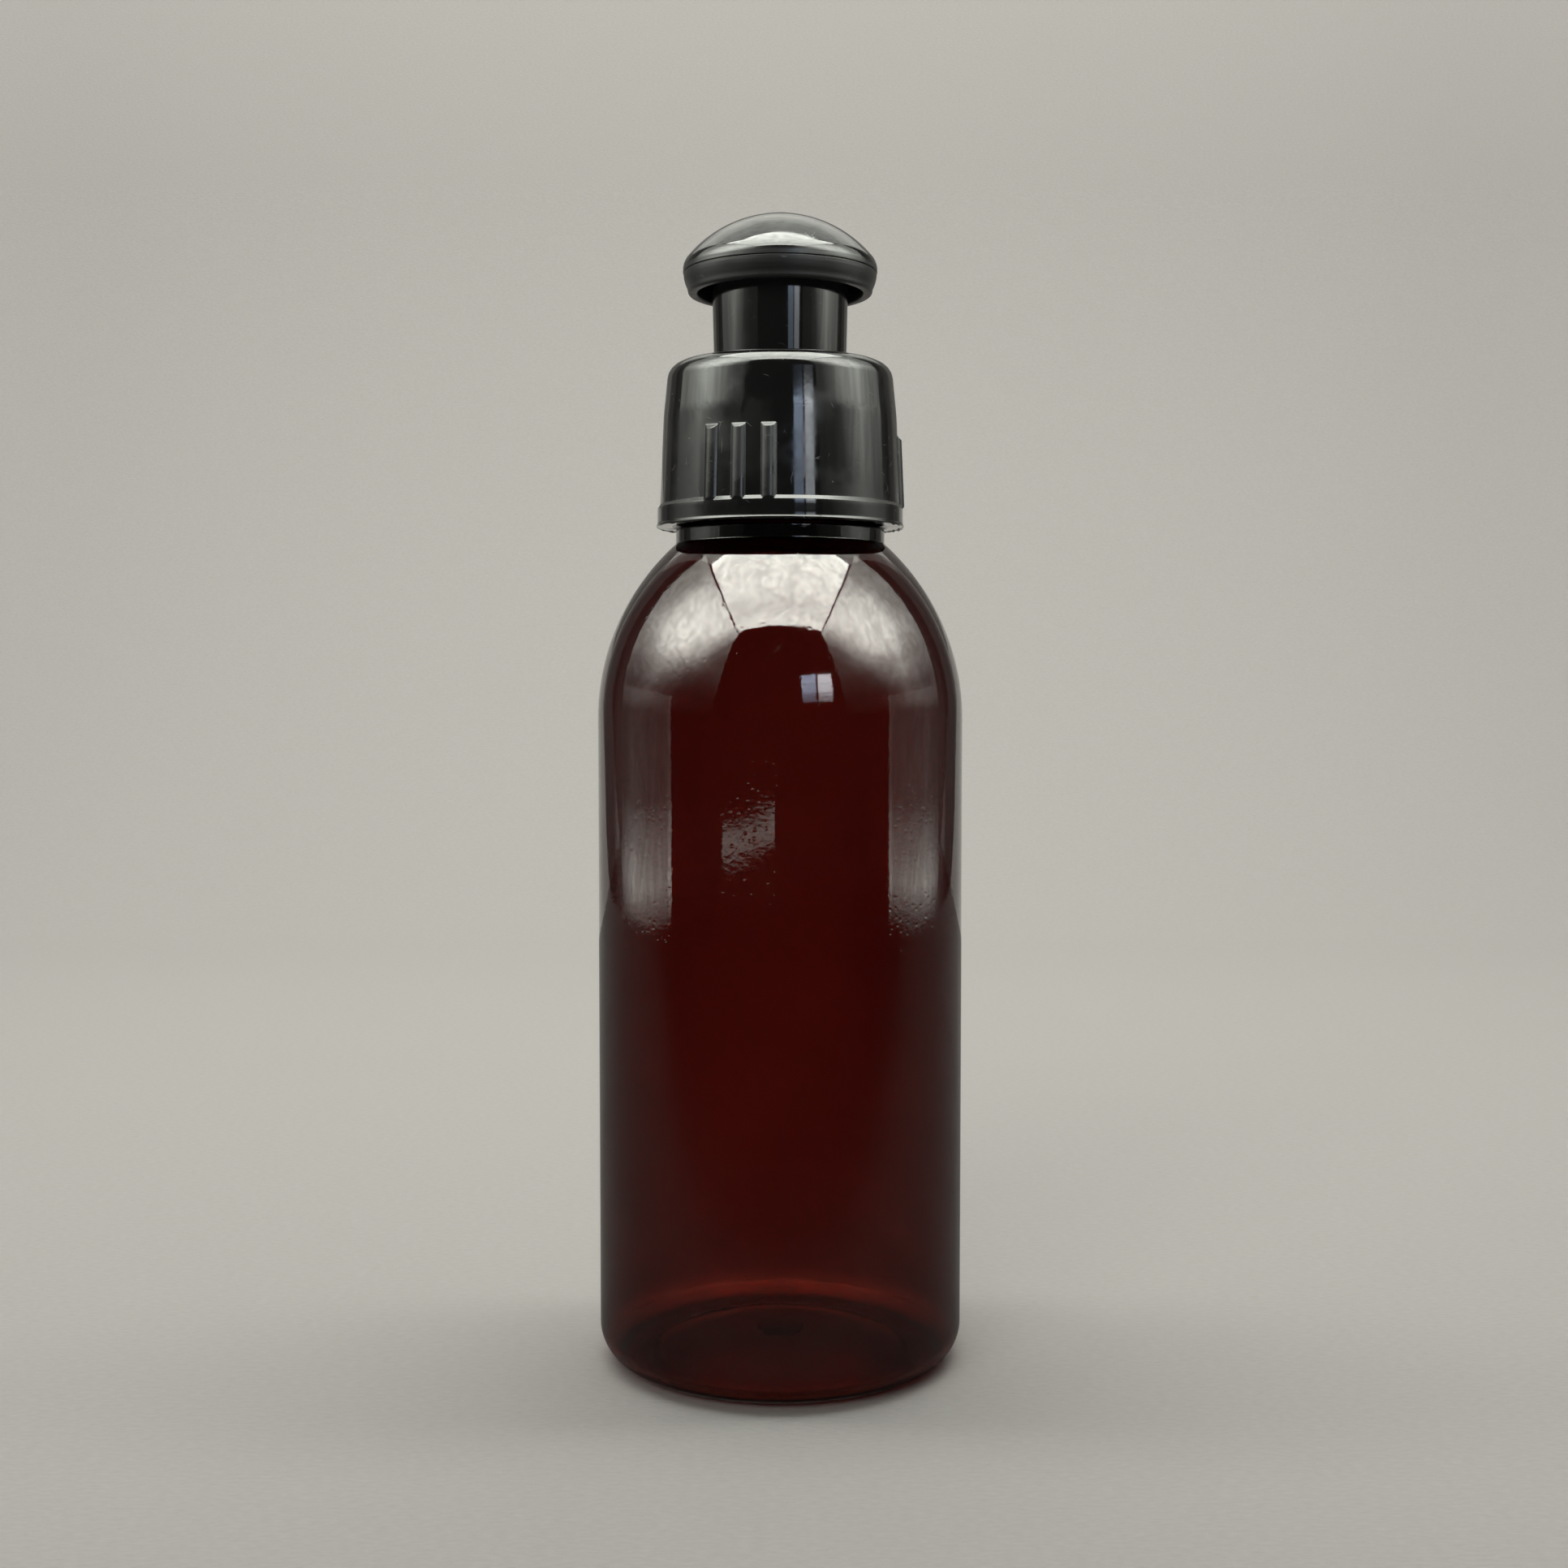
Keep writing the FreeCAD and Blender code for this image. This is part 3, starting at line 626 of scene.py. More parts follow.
def grains(tree, place, size, detail=2.0):
    """Noise between 0 and 1 with grains of a size in millimetres."""
    scale = sum_node(tree, "DIVIDE", 1 / MM, size)
    return wire(tree, "TexNoise", {"Vector": place, "Scale": scale, "Detail": detail}).outputs[0]


def new_group(name, inputs, outputs):
    """An empty shader group with number sockets. Gives its tree, the values given to it and its results."""
    tree = bpy.data.node_groups.new(name, "ShaderNodeTree")
    for label, value in inputs.items():
        socket = tree.interface.new_socket(label, in_out="INPUT", socket_type="NodeSocketFloat")
        socket.default_value = value
    for label in outputs:
        tree.interface.new_socket(label, in_out="OUTPUT", socket_type="NodeSocketFloat")
    return tree, tree.nodes.new("NodeGroupInput").outputs, tree.nodes.new("NodeGroupOutput").inputs


def use_group(tree, group, **values):
    """Places a group in a material with its own values. An underscore in a name stands for a space."""
    node = tree.nodes.new("ShaderNodeGroup")
    node.node_tree = group
    for name, value in values.items():
        node.inputs[name.replace("_", " ")].default_value = value
    return node.outputs


def background_ray(tree):
    """One for rays from the camera and for rays that plastic mirrors or lets through, nought for all others."""
    path = wire(tree, "LightPath").outputs
    through = sum_node(tree, "MAXIMUM", path["Is Glossy Ray"], path["Is Transmission Ray"])
    return sum_node(tree, "MAXIMUM", path["Is Camera Ray"], through)


def join_bump(tree, shader, height, distance=MICROMETRE):
    """Joins a bump to the shader. Its height counts in the given distance."""
    bump = wire(tree, "Bump", {"Distance": distance, "Height": height})
    tree.links.new(bump.outputs["Normal"], shader["Normal"])


def new_material(name):
    """A node material with its shader and output joined."""
    material = bpy.data.materials.new(name)
    material.use_nodes = True
    tree = material.node_tree
    tree.nodes.clear()
    shader = tree.nodes.new("ShaderNodeBsdfPrincipled")
    out = tree.nodes.new("ShaderNodeOutputMaterial")
    tree.links.new(shader.outputs["BSDF"], out.inputs["Surface"])
    return material, tree, shader.inputs, out.inputs


# %% [markdown]
# ## Skin of a moulding
# No moulded surface is a perfect mirror. It has an orange peel of a few tenths of a millimetre, slow waves
# where the wall cooled unevenly, fine lines along the way it was drawn out of the mould, and on a blown wall
# tiny pits where air was caught. They are micrometres high, too fine for the mesh, and they show only in
# reflections, so they are bump. All the plastics here have them in different amounts, so they are one group
# whose height is in micrometres.

# %% Group: moulded skin
PITS_PER_METRE = 1100.0
skin, given, result = new_group(
    "moulded_skin",
    {"Peel Size": 0.4, "Peel Height": 2.0, "Wave Size": 8.0, "Wave Height": 10.0, "Line Height": 1.0,
     "Pit Depth": 0.0},
    ["Height"])
place = wire(skin, "TexCoord").outputs["Object"]
drawn = wire(skin, "VectorMath", {0: place, 1: (1, 1, 0.03)}, operation="MULTIPLY").outputs[0]
peel = sum_node(skin, "MULTIPLY", grains(skin, place, given["Peel Size"]), given["Peel Height"])
wave = sum_node(skin, "MULTIPLY", grains(skin, place, given["Wave Size"], 1.0), given["Wave Height"])
line = sum_node(skin, "MULTIPLY", grains(skin, drawn, 0.6, 3.0), given["Line Height"])
dents = wire(skin, "TexVoronoi", {"Vector": place, "Scale": PITS_PER_METRE}).outputs["Distance"]
pits = sum_node(skin, "MULTIPLY", between(skin, dents, 0.08, 0.3, -1.0, 0.0), given["Pit Depth"])
total = sum_node(skin, "ADD", sum_node(skin, "ADD", peel, wave), sum_node(skin, "ADD", line, pits))
skin.links.new(total, result["Height"])
print("moulded_skin:", len(skin.nodes), "nodes")

# %% [markdown]
# ## Marks of handling
# A used piece carries short scratches, dull patches from fingers, and a few specks of dust. The scratches are
# the cell edges of a bent Voronoi pattern, broken up by noise until only short pieces are left. The specks are
# small balls round some of the cells' points. The group gives three masks, and each material decides what
# they do to its gloss and colour.

# %% Group: handling marks
marks, given, result = new_group(
    "handling_marks", {"Scratch Size": 5.0, "Smudge Size": 7.0, "Dust Size": 2.2},
    ["Scratches", "Smudges", "Dust"])
place = wire(marks, "TexCoord").outputs["Object"]
sway = wire(marks, "TexNoise", {"Vector": place, "Scale": 220.0}).outputs["Color"]
sway = wire(marks, "VectorMath", {0: sway, 1: (0.004, 0.004, 0.004)}, operation="MULTIPLY").outputs[0]
bent = wire(marks, "VectorMath", {0: place, 1: sway}, operation="ADD").outputs[0]
cells = {"Vector": bent, "Scale": sum_node(marks, "DIVIDE", 1 / MM, given["Scratch Size"])}
edges = wire(marks, "TexVoronoi", cells, feature="DISTANCE_TO_EDGE").outputs["Distance"]
pieces = between(marks, grains(marks, place, 1.6, 1.0), 0.56, 0.66)
thin = between(marks, edges, 0.002, 0.012, 1.0, 0.0)
marks.links.new(sum_node(marks, "MULTIPLY", thin, pieces), result["Scratches"])
smudge = grains(marks, place, given["Smudge Size"], 4.0)
marks.links.new(between(marks, smudge, 0.38, 0.68), result["Smudges"])
cells = {"Vector": place, "Scale": sum_node(marks, "DIVIDE", 1 / MM, given["Dust Size"])}
dots = wire(marks, "TexVoronoi", cells)
chosen = wire(marks, "SeparateColor", {0: dots.outputs["Color"]}).outputs[0]
small = between(marks, dots.outputs["Distance"], 0.03, 0.08, 1.0, 0.0)
marks.links.new(sum_node(marks, "MULTIPLY", small, between(marks, chosen, 0.7, 0.72)), result["Dust"])
print("handling_marks:", len(marks.nodes), "nodes")

# %% [markdown]
# ## Red-brown see-through plastic
# The bottle is clear plastic with dye in it, so its colour comes from how far light travels inside the wall: one
# wall is red-brown, two in a row are dark red, and an edge seen along the wall is nearly black. A coloured
# surface can't do that. The surface is clear glass with the plastic's refraction, and a volume inside it
# absorbs light. The bump gives the wavering lamp reflections of a blown wall.

# %% Material: bottle
DYE, DYE_DENSITY, PLASTIC_IOR = (0.62, 0.18, 0.03, 1), 4300.0, 1.575
SPECK_HIGH, SCRATCH_DULL, POLISHED, SMUDGED = 5.0, 0.12, 0.012, 0.045
amber, tree, shader, out = new_material("amber_plastic")
skin_of = use_group(tree, skin, Peel_Size=0.6, Peel_Height=4.0, Wave_Size=9.0, Wave_Height=40.0,
                    Line_Height=2.0, Pit_Depth=3.0)
mark = use_group(tree, marks, Scratch_Size=8.0, Smudge_Size=12.0, Dust_Size=2.0)
bumps = sum_node(tree, "ADD", skin_of["Height"], sum_node(tree, "MULTIPLY", mark["Dust"], SPECK_HIGH))
join_bump(tree, shader, bumps)
dull = sum_node(tree, "ADD", sum_node(tree, "MULTIPLY", mark["Scratches"], SCRATCH_DULL),
                between(tree, mark["Smudges"], 0, 1, POLISHED, SMUDGED))
tree.links.new(dull, shader["Roughness"])
tint = wire(tree, "MixRGB", {0: mark["Smudges"], 1: (1, 0.98, 0.97, 1), 2: (0.95, 0.88, 0.84, 1)}).outputs[0]
tree.links.new(tint, shader["Base Color"])
shader["IOR"].default_value = PLASTIC_IOR
shader["Transmission Weight"].default_value = 1.0
absorb = wire(tree, "VolumeAbsorption", {"Color": DYE, "Density": DYE_DENSITY})
tree.links.new(absorb.outputs["Volume"], out["Volume"])
bottle.data.materials.append(amber)
print("amber_plastic:", len(tree.nodes), "nodes")

# %% [markdown]
# ## Black plastic
# The closure is black and glossy but worn: its skirt has dull patches, fine scratches and dust, and the ribs
# that fingers rub are duller than the rest. The mesh carries the ribs' faces as the attribute "finish". The
# head uses the same attribute for its satin band, where rings from the turned mould catch the light.

# %% Material: closure
BLACK, DUST = (0.014, 0.014, 0.0145, 1), (0.2, 0.195, 0.18, 1)
SCRATCH_GREY, SANDED_HIGH, RIB_DULL = 0.2, 6.0, 0.3


def dusty_black(tree, shader, mark):
    """Joins black to the base colour, greyed by dust and a little by scratches."""
    grey = sum_node(tree, "ADD", mark["Dust"], sum_node(tree, "MULTIPLY", mark["Scratches"], SCRATCH_GREY))
    tree.links.new(wire(tree, "MixRGB", {0: grey, 1: BLACK, 2: DUST}).outputs[0], shader["Base Color"])


def worn_gloss(tree, mark, clean, smudged, scratched):
    """Roughness that goes from clean to smudged with the smudges, and higher by scratched on a scratch."""
    scratch = sum_node(tree, "MULTIPLY", mark["Scratches"], scratched)
    return sum_node(tree, "ADD", between(tree, mark["Smudges"], 0, 1, clean, smudged), scratch)


black, tree, shader, out = new_material("black_plastic")
skin_of = use_group(tree, skin, Peel_Size=0.5, Peel_Height=0.8, Wave_Size=5.0, Wave_Height=7.0,
                    Line_Height=0.8)
mark = use_group(tree, marks, Scratch_Size=4.0, Smudge_Size=6.0, Dust_Size=2.0)
finish = wire(tree, "Attribute", attribute_name="finish").outputs["Fac"]
sanded = grains(tree, wire(tree, "TexCoord").outputs["Object"], 0.15, 2.0)
sanded = sum_node(tree, "MULTIPLY", sum_node(tree, "MULTIPLY", sanded, finish), SANDED_HIGH)
bumps = sum_node(tree, "ADD", skin_of["Height"], sanded)
join_bump(tree, shader, bumps)
dusty_black(tree, shader, mark)
gloss = worn_gloss(tree, mark, 0.06, 0.22, 0.25)
gloss = sum_node(tree, "ADD", gloss, sum_node(tree, "MULTIPLY", finish, RIB_DULL))
tree.links.new(gloss, shader["Roughness"])
closure.data.materials.append(black)
print("black_plastic:", len(tree.nodes), "nodes")

# %% Material: head and stem
RINGS_PER_METRE, RING_HIGH, BAND_DULL = 5000.0, 18.0, 0.32
crown, tree, shader, out = new_material("black_head_plastic")
skin_of = use_group(tree, skin, Peel_Size=0.5, Peel_Height=0.5, Wave_Size=5.0, Wave_Height=5.0,
                    Line_Height=0.5)
mark = use_group(tree, marks, Scratch_Size=4.5, Smudge_Size=5.0, Dust_Size=2.2)
dusty_black(tree, shader, mark)
finish = wire(tree, "Attribute", attribute_name="finish").outputs["Fac"]
place = wire(tree, "TexCoord").outputs["Object"]
around = wire(tree, "VectorMath", {0: place, 1: (0.02, 0.02, 1)}, operation="MULTIPLY").outputs[0]
rings = wire(tree, "TexNoise", {"Vector": around, "Scale": RINGS_PER_METRE, "Detail": 3.0}).outputs[0]
rings = sum_node(tree, "MULTIPLY", sum_node(tree, "MULTIPLY", rings, finish), RING_HIGH)
bumps = sum_node(tree, "ADD", skin_of["Height"], rings)
join_bump(tree, shader, bumps)
gloss = worn_gloss(tree, mark, 0.06, 0.13, 0.15)
gloss = sum_node(tree, "ADD", gloss, sum_node(tree, "MULTIPLY", finish, BAND_DULL))
tree.links.new(gloss, shader["Roughness"])
head.data.materials.append(crown)
print("black_head_plastic:", len(tree.nodes), "nodes")

# %% [markdown]
# ## Foam washer
# The washer under the closure is the one CAD shape that is right as it is, so it stays and only gets a finish:
# pale closed-cell foam, with cells of a quarter of a millimetre.

# %% Material: washer
CELLS_PER_METRE, CELL_HIGH = 4000.0, 2e-5
foam, tree, shader, out = new_material("liner_foam")
place = wire(tree, "TexCoord").outputs["Object"]
bubbles = wire(tree, "TexVoronoi", {"Vector": place, "Scale": CELLS_PER_METRE}).outputs["Distance"]
pale = wire(tree, "MixRGB", {0: bubbles, 1: (0.72, 0.71, 0.68, 1), 2: (0.86, 0.86, 0.84, 1)}).outputs[0]
tree.links.new(pale, shader["Base Color"])
join_bump(tree, shader, bubbles, CELL_HIGH)
shader["Roughness"].default_value = 0.7
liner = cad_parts["sealing_liner"]
liner.data.materials.clear()
liner.data.materials.append(foam)
print("liner_foam:", len(tree.nodes), "nodes")

# %% [markdown]
# ## Paper sweep
# The bottle stands on a sheet of pale paper that curves up behind it, so that no edge shows between floor and
# wall. The sheet is a profile carried along X. Its fibres are noise stretched sideways, in colour and bump.
# Far from the bottle, where the lamps don't reach, the sheet has a faint light of its own. Only the camera,
# mirrors and clear plastic see it, so the sheet is pale from every side and lights nothing else. From here on,
# lengths are in metres.

# %% Floor
SWEEP_START, SWEEP_BEND, BEND_R, SWEEP_HIGH, SWEEP_WIDE = -1.2, 0.34, 0.30, 1.2, 1.6
FAR_FROM, FAR_TO, FAR_PAPER, FIBRE_HIGH = 0.28, 0.85, (0.42, 0.405, 0.365, 1), 8e-5
bend = np.linspace(0, np.pi / 2, 32)[1:]
profile = np.vstack([
    run((SWEEP_START, 0), (SWEEP_BEND, 0), 12),
    np.column_stack([SWEEP_BEND + BEND_R * np.sin(bend), BEND_R - BEND_R * np.cos(bend)]),
    run((SWEEP_BEND + BEND_R, BEND_R + 0.05), (SWEEP_BEND + BEND_R, SWEEP_HIGH), 6),
])
across = np.linspace(-SWEEP_WIDE, SWEEP_WIDE, 9)
grid = (len(profile), len(across))
points = np.stack([np.broadcast_to(across, grid), np.broadcast_to(profile[:, :1], grid),
                   np.broadcast_to(profile[:, 1:], grid)], axis=-1).reshape(-1, 3)
i, j = np.meshgrid(np.arange(grid[0] - 1), np.arange(grid[1] - 1), indexing="ij")
corner = (i * grid[1] + j).ravel()
faces = np.column_stack([corner, corner + 1, corner + 1 + grid[1], corner + grid[1]])
mesh = bpy.data.meshes.new("paper_sweep")
mesh.from_pydata(points.tolist(), [], faces.tolist())
mesh.shade_smooth()
floor = bpy.data.objects.new("paper_sweep", mesh)
bpy.context.scene.collection.objects.link(floor)
paper, tree, shader, out = new_material("pale_paper")
place = wire(tree, "TexCoord").outputs["Object"]
fibre = wire(tree, "VectorMath", {0: place, 1: (0.4, 1, 1)}, operation="MULTIPLY").outputs[0]
fibre = grains(tree, fibre, 0.5, 3.0)
shade = wire(tree, "MixRGB", {0: fibre, 1: (0.47, 0.465, 0.45, 1), 2: (0.57, 0.565, 0.545, 1)}).outputs[0]
tree.links.new(shade, shader["Base Color"])
join_bump(tree, shader, fibre, FIBRE_HIGH)
shader["Roughness"].default_value = 0.9
shader["Specular IOR Level"].default_value = 0.1
side = wire(tree, "SeparateXYZ", {0: place}).outputs
away = wire(tree, "CombineXYZ", {"X": side["X"], "Y": sum_node(tree, "MINIMUM", side["Y"])}).outputs[0]
away = wire(tree, "VectorMath", {0: away}, operation="LENGTH").outputs["Value"]
far = between(tree, away, FAR_FROM, FAR_TO)
tree.links.new(sum_node(tree, "MULTIPLY", far, background_ray(tree)), shader["Emission Strength"])
shader["Emission Color"].default_value = FAR_PAPER
paper.cycles.emission_sampling = "NONE"
floor.data.materials.append(paper)
print(f"paper sweep: {len(faces)} quads")

# %% [markdown]
# ## Light
# Glossy plastic shows its lamps, so the lamps are panels whose shape and shading would look right as a
# reflection: here a large one overhead, and a dimmer one above the back. They are shaded like cloth on a frame,
# with soft folds, and most of their strength goes only to reflections. Weaker panels that no reflection shows
# light the paper, because pale paper needs far less light than black plastic needs to show its form.

# %% Lamps
SHINE = ("glossy", "transmission")
WARM, CLOTH = (1.0, 0.975, 0.92), (0.97, 1.0, 0.91)
UP, FROM_LEFT, FROM_RIGHT = (0, 0, 1), (1, -1, 0), (0, 1, 0)
FOLDS, FOLD_DIM, FOLD_BRIGHT = {"Scale": 7.0, "Detail": 5.0, "Distortion": 2.5}, 0.74, 1.14


def shaded(tree, value, stops):
    """A share of brightness that follows a list of (place, share) along a panel."""
    ramp = wire(tree, "ValToRGB", {0: value})
    band = ramp.color_ramp
    first, *inner, last = sorted(stops)
    for stop, (spot, share) in zip(band.elements, (first, last)):
        stop.position, stop.color = spot, (share, share, share, 1)
    for spot, share in inner:
        band.elements.new(spot).color = (share, share, share, 1)
    return wire(tree, "SeparateColor", {0: ramp.outputs["Color"]}).outputs[0]


def shade_lamp(lamp, shades):
    """Shades a lamp like lit cloth, with the soft patches of its folds.

    Each shade is a direction (a, b, c) and its stops, which are looked up at a + b * across + c * high. Across
    goes from 0 at the right edge to 1 at the left edge, as the panel is seen from the front, and high from 0
    to 1.
    """
    lamp.use_nodes = True
    tree = lamp.node_tree
    spot = wire(tree, "NewGeometry").outputs["Parametric"]
    folds = wire(tree, "TexNoise", {"Vector": spot, **FOLDS}).outputs[0]
    strength = between(tree, folds, 0.3, 0.7, FOLD_DIM, FOLD_BRIGHT)
    for (start, across, high), stops in shades:
        along = wire(tree, "VectorMath", {0: spot, 1: (across, high, 0)}, operation="DOT_PRODUCT")
        along = along.outputs["Value"]
        share = shaded(tree, sum_node(tree, "ADD", along, start), stops)
        strength = sum_node(tree, "MULTIPLY", strength, share)
    tree.links.new(strength, tree.nodes["Emission"].inputs["Strength"])


def panel(name, place, aim, size, radiance, rays=SHINE, colour=CLOTH, shades=()):
    """A rectangular lamp whose power is radiance times pi times its area.

    rays names what sees it: diffuse, glossy or transmission. shades are the directions and stops of shade_lamp.
    """
    lamp = bpy.data.lights.new(name, "AREA")
    lamp.shape, lamp.color = "RECTANGLE", colour
    lamp.size, lamp.size_y = size
    lamp.energy = radiance * math.pi * size[0] * size[1]
    light = bpy.data.objects.new(name, lamp)
    bpy.context.scene.collection.objects.link(light)
    light.location = place
    light.rotation_euler = Vector(aim).to_track_quat("-Z", "Y").to_euler()
    light.visible_camera = False
    for ray in ("diffuse", "glossy", "transmission"):
        setattr(light, "visible_" + ray, ray in rays)
    if rays == SHINE:
        shade_lamp(lamp, shades)
    print(f"{name}: {size[0] * 100:.1f} x {size[1] * 100:.1f} cm, radiance {radiance}")


DOWN = (0, 0.0001, -1)
top_rows = [(0, 0.9), (0.1, 1.0), (0.22, 0.82), (0.35, 0.82), (0.5, 1.0), (0.7, 0.92), (1, 0.85)]
back_rows = [(0, 0.35), (0.6, 0.9), (1, 1.0)]
panel("top_light", (0, 0.10, 0.45), DOWN, (0.45, 0.40), 1.0, ("diffuse",), WARM)
panel("paper_light", (0, 0.10, 0.85), (0, 0.54, -0.45), (1.3, 0.3), 6.0, ("diffuse",), WARM)
panel("front_fill", (-0.3, -0.75, 0.55), (0.3, 0.75, -0.45), (0.5, 0.5), 2.5, ("diffuse",), WARM)
panel("top_shine", (0, -0.14, 0.418), DOWN, (0.412, 0.39), 14.5, shades=[(UP, top_rows)])
panel("back_shine", (0, 0.36, 0.66), (0, -0.36, -0.5), (0.9, 0.62), 1.9, shades=[(UP, back_rows)])

# %% [markdown]
# ## Side panels and small glows
# A bottle in a tent of white cloth shows the tent's sides as two wings on its shoulder. Each side has a tall
# panel whose bright part is a slanted band that fades towards the floor and the back, and a low panel that
# ends on the body as a soft glow. A small patch lies in front. A red-lit disc under the base stands for the
# light that comes through the plastic onto the paper, which plain glass in Blender shuts out as shadow.

# %% Side lamps
SLANT = 0.68
card_foot = [(0, 0), (0.05, 0.4), (0.14, 0.55), (0.19, 1), (0.23, 1.35)]
card_rows = [(0.3, 0.4), (0.37, 0.68), (0.45, 0.97), (1, 1)]
card_depth = [(0, 0.7), (0.02, 1), (0.05, 0.8), (0.3, 1), (0.65, 0.9), (0.7, 0.8), (0.76, 0.55),
              (0.82, 0.42), (0.9, 0.32), (1, 0.25)]
card_band = [(0, 0.03), (0.45, 0.05), (0.57, 0.12), (0.6, 0.2), (0.65, 0.35), (0.7, 0.5), (0.76, 0.75),
             (0.82, 0.95), (0.88, 1), (1.1, 0.85), (1.3, 0.5), (1 + SLANT, 0.45)]
card_band = [(spot / (1 + SLANT), share) for spot, share in card_band]
glow_rows = [(0, 0), (0.11, 1), (0.2, 0.6), (0.3, 0.18), (0.5, 0.14), (1, 0.16)]
glow_depth = [(0, 0.55), (0.03, 1), (0.07, 0.55), (0.7, 0.62), (1, 0.12)]
sides = ((-1, "left", 14.0, 0.16, FROM_LEFT), (1, "right", 12.5, 0.23, FROM_RIGHT))
for side, name, strength, foot, depth in sides:
    rows = [(spot, foot * share) for spot, share in card_foot] + card_rows
    slanted = tuple((a + SLANT * b) / (1 + SLANT) for a, b in zip(depth, UP))
    panel(name + "_card", (side * 0.2575, -0.11, 0.255), (-side * 0.33, 0, -0.085), (0.48, 0.34), strength,
          shades=[(UP, rows), (depth, card_depth), (slanted, card_band)])
    panel(name + "_glow", (side * 0.30, 0.005, 0.07), (-side, 0, 0), (0.25, 0.11), 3.5,
          shades=[(UP, glow_rows), (depth, glow_depth)])

# %% Glows under the base and in front
UPWARD, RED_LIT = (0, 0.0001, 1), (1.0, 0.6, 0.5)
panel("base_glow", (0, 0, 0.0002), UPWARD, (0.036, 0.036), 0.1, ("transmission",), RED_LIT)
bpy.data.lights["base_glow"].shape = "DISK"
front_rows = [(0, 0), (0.28, 0), (0.42, 0.9), (0.55, 1), (0.78, 0)]
panel("front_glow", (-0.163, -0.473, 0.0235), (0.163, 0.473, 0.03), (0.28, 0.03), 1.5,
      shades=[((0.12, -0.24, 1), front_rows)])

# %% [markdown]
# ## Window
# A window with two panes is the one cool light. It leaves a small square on the shoulder and a blue line down
# the closure and the stem, and such a sharp small reflection tells the eye how glossy they are.

# %% Window panes
pane_rows = [(0, 0), (0.03, 0.2), (0.2, 0.35), (0.28, 0.6), (0.31, 0.15), (0.34, 0.7), (0.5, 0.8),
             (0.62, 0.95), (0.65, 0.3), (0.68, 1), (0.95, 1), (1, 0)]
panes = ((-1, "left", (0.62, 0.77, 1.0), 6.5), (1, "right", (0.9, 0.95, 1.0), 10.0))
for side, name, colour, strength in panes:
    panel(name + "_pane", (0.39 + side * 0.085, -0.92 + side * 0.036, 0.34), (-0.39, 0.92, -0.24),
          (0.155, 0.24), strength, colour=colour, shades=[(UP, pane_rows)])

# %% [markdown]
# ## Dark cards, painted shade in reflections
# A glossy dark thing keeps its colour only where it mirrors something dark. Photographers lay black card on the
# floor and stand more of it behind a bottle and at both sides, which also draws its edges, and a black tent
# closes off the rest of the room. Here the cards are seen by reflections alone, so they are painted shade in
# what the plastic mirrors. They block no lamp, and the paper stays pale in every view. The floor's painted shade
# is weaker beside and behind the bottle, where the heel mirrors the paper.

# %% Cards of painted shade
def painted_shade_card(name, start, end, drop, shares):
    """A strip of card between two points, carried along drop, seen only in reflections as painted shade. Its
    darkness follows shares from start to end.
    """
    start, end, drop = (np.array(v, float) for v in (start, end, drop))
    t = np.linspace(0, 1, len(shares))[:, None]
    edge = start + (end - start) * t
    points = np.vstack([edge, edge + drop])
    i, n = np.arange(len(shares) - 1), len(shares)
    mesh = bpy.data.meshes.new(name)
    mesh.from_pydata(points.tolist(), [], np.column_stack([i, i + 1, i + 1 + n, i + n]).tolist())
    # The attribute holds each point's share of painted shade, which is how much of the black the reflections
    # see.
    dark = np.tile(shares, 2).astype(np.float32)
    mesh.attributes.new("finish", "FLOAT", "POINT").data.foreach_set("value", dark)
    mesh.materials.append(painted_shade_black)
    card = bpy.data.objects.new(name, mesh)
    bpy.context.scene.collection.objects.link(card)
    # Camera, diffuse, transmission and shadow rays pass the card by. Only reflections see it, so it paints shade
    # into them and blocks no lamp.
    for ray in ("camera", "diffuse", "transmission", "shadow"):
        setattr(card, "visible_" + ray, False)
    print(f"{name}: darkness from {min(shares):.2f} to {max(shares):.2f}")


# This black is painted shade that only reflections show. The attribute's share sets how opaque it is.
painted_shade_black, tree, shader, out = new_material("painted_shade_black")
tree.links.new(wire(tree, "Attribute", attribute_name="finish").outputs["Fac"], shader["Alpha"])
shader["Base Color"].default_value = (0.01, 0.01, 0.01, 1)
shader["Roughness"].default_value = 1.0
shader["Specular IOR Level"].default_value = 0.0
print("painted_shade_black:", len(tree.nodes), "nodes")
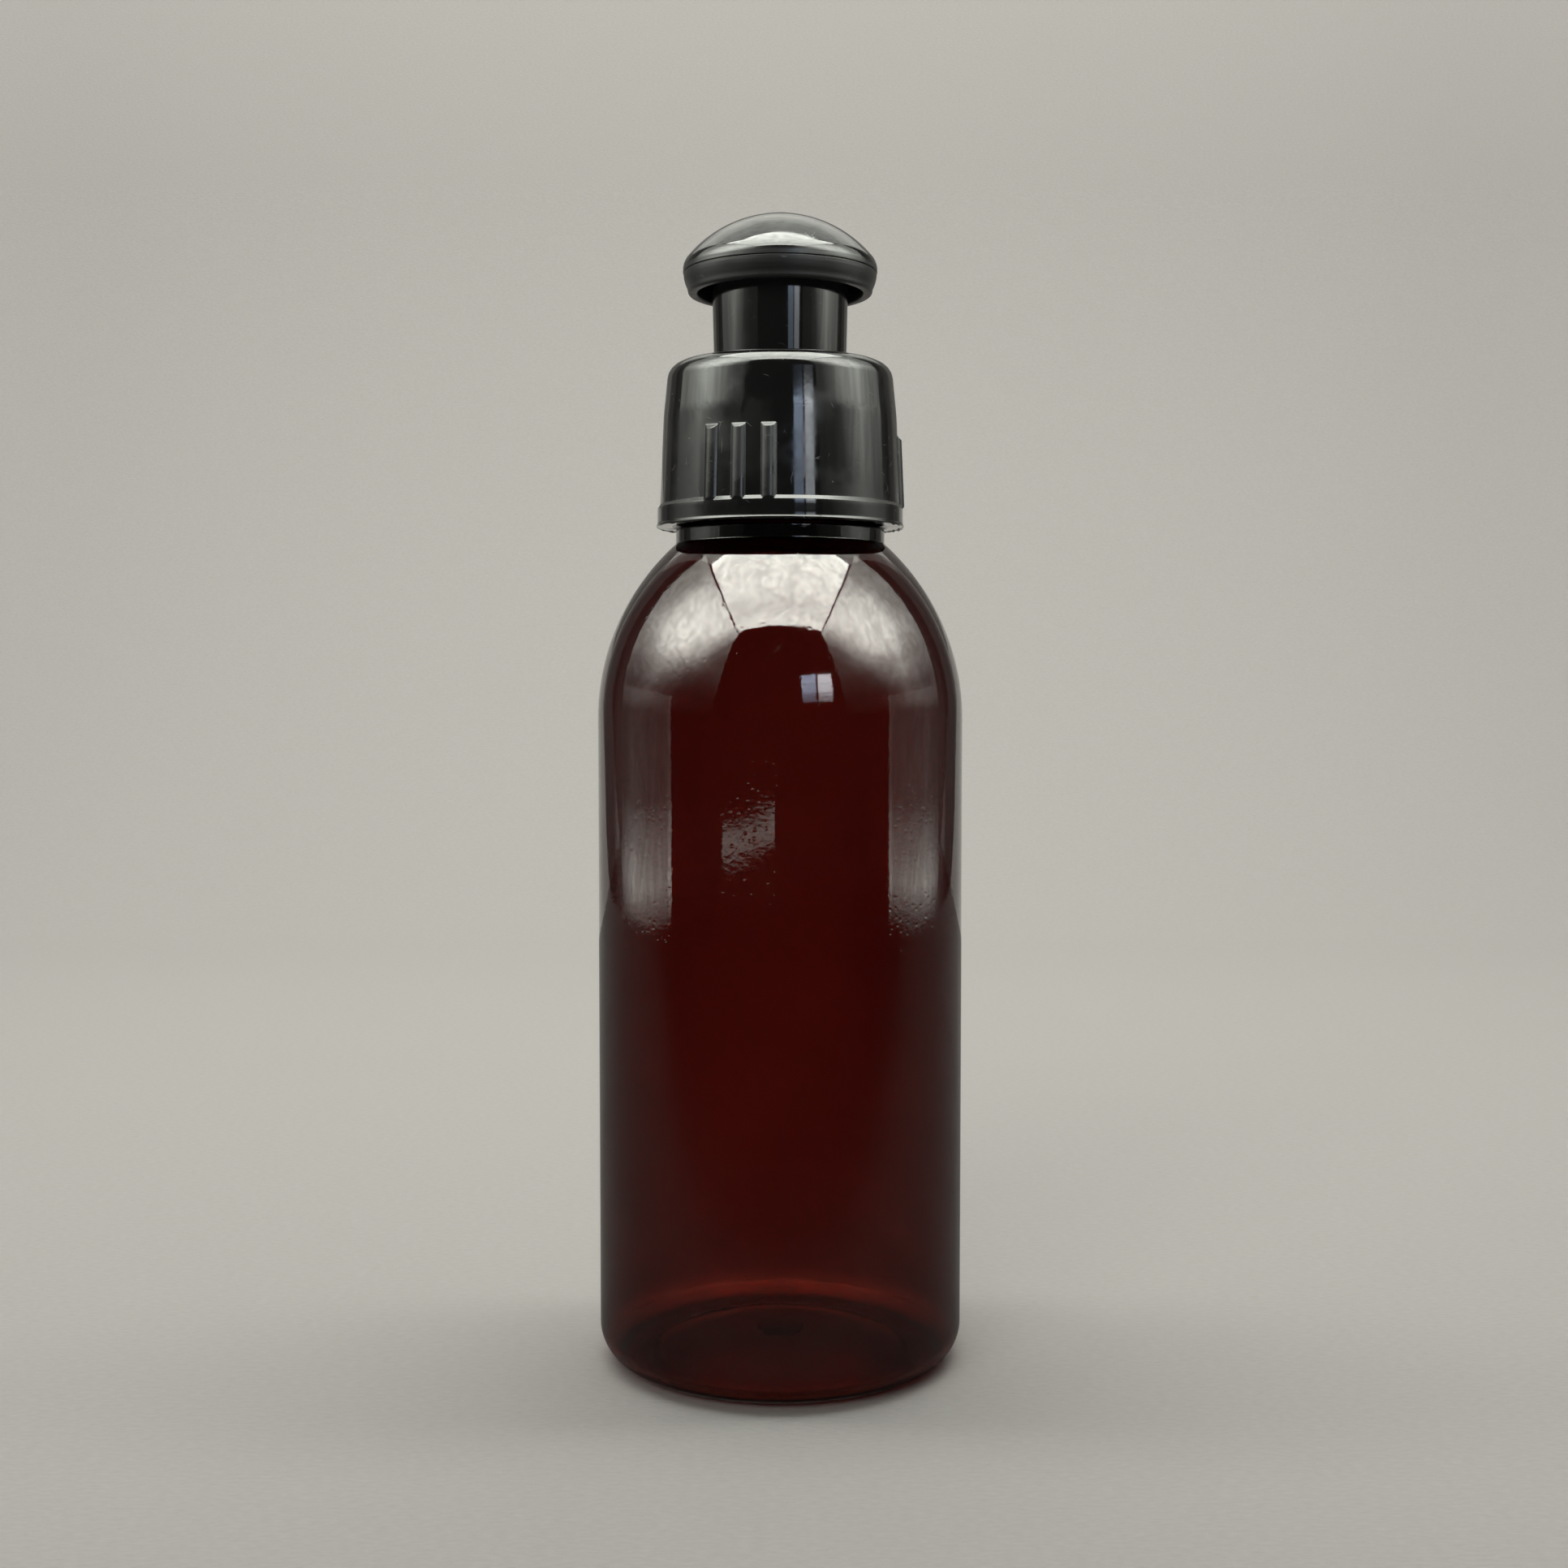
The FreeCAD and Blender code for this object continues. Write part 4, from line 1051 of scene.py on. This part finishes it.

# %% Painted shade cards on the floor, behind and beside
BACK, FRONT, WIDE, TENT_HIGH, PAINTED_SHADE_DARK = 0.6, -1.19, 0.7, 1.1, 0.94
depths = np.linspace(BACK, FRONT, 40)
# Painted shade in the floor's reflection: it is darkest in front and weaker beside and behind the bottle.
floor_shares = np.interp(depths, [FRONT, -0.1, -0.04, 0.15, BACK], [PAINTED_SHADE_DARK, 0.93, 0.72, 0.66, 0.5])
back_shares, side_shares = [0.6, 0.5, 0.45, 0.45, 0.5, 0.6], [0, 0.8, 0.8, 0.8, 0.6, 0]
painted_shade_card("floor_shade_card", (-WIDE, BACK, 0.001), (-WIDE, FRONT, 0.001), (2 * WIDE, 0, 0), floor_shares)
painted_shade_card("back_shade_card", (-0.37, 0.615, 0), (0.37, 0.615, 0), (0, 0, 0.6), back_shares)
for side in (-1, 1):
    painted_shade_card("side_shade_card", (side * 0.42, 0.20, 0), (side * 0.37, 0.62, 0), (0, 0, 0.7), side_shares)

# %% Painted shade round the rest, like a black tent
UPRIGHT, even = (0, 0, TENT_HIGH), [PAINTED_SHADE_DARK, PAINTED_SHADE_DARK]
wall_shares = np.interp(depths, [FRONT, 0.26, 0.33, BACK], [PAINTED_SHADE_DARK, PAINTED_SHADE_DARK, 0.78, 0.5])
painted_shade_card("front_shade_card", (-WIDE, FRONT, 0), (WIDE, FRONT, 0), UPRIGHT, even)
painted_shade_card("top_shade_card", (-WIDE, 0.62, TENT_HIGH), (-WIDE, FRONT, TENT_HIGH), (2 * WIDE, 0, 0), even)
for side in (-1, 1):
    painted_shade_card("wall_shade_card", (side * WIDE, BACK, 0), (side * WIDE, FRONT, 0), UPRIGHT, wall_shares)

# %% [markdown]
# ## The room
# Beyond the paper lies a room. Seen by the camera, in a mirror or through clear plastic, it is as pale as the
# far paper, so that from the side and from behind the sheet's edge is only a soft line. For all other light it
# is nearly dark, which leaves the lamps to light the bottle.

# %% World
ROOM_DARK, ROOM_PALE = (0.03, 0.03, 0.03, 1), (0.46, 0.445, 0.4, 1)
world = bpy.data.worlds.new("dim_room")
world.use_nodes = True
tree = world.node_tree
room = wire(tree, "MixRGB", {0: background_ray(tree), 1: ROOM_DARK, 2: ROOM_PALE}).outputs[0]
tree.links.new(room, tree.nodes["Background"].inputs["Color"])
bpy.context.scene.world = world

# %% [markdown]
# ## Camera
# The picture's lines of sight give the camera: a little above the middle of the bottle, looking slightly down,
# close enough that the base curves more than the shoulder.

# %% Camera and view
FOCAL_PX, FRAME_PX, SENSOR = 2400, 1932, 36
LOOK_DOWN = 2.91
lens = bpy.data.cameras.new("camera")
lens.sensor_width = SENSOR
lens.lens = FOCAL_PX / FRAME_PX * SENSOR
camera = bpy.data.objects.new("camera", lens)
bpy.context.scene.collection.objects.link(camera)
camera.location = (0.00044, -0.22547, 0.07810)
camera.rotation_euler = (math.radians(90 - LOOK_DOWN), 0, 0)
bpy.context.scene.camera = camera
bpy.context.scene.view_settings.view_transform = "Standard"
print(f"lens {lens.lens:.2f} mm, looking down {LOOK_DOWN} degrees")
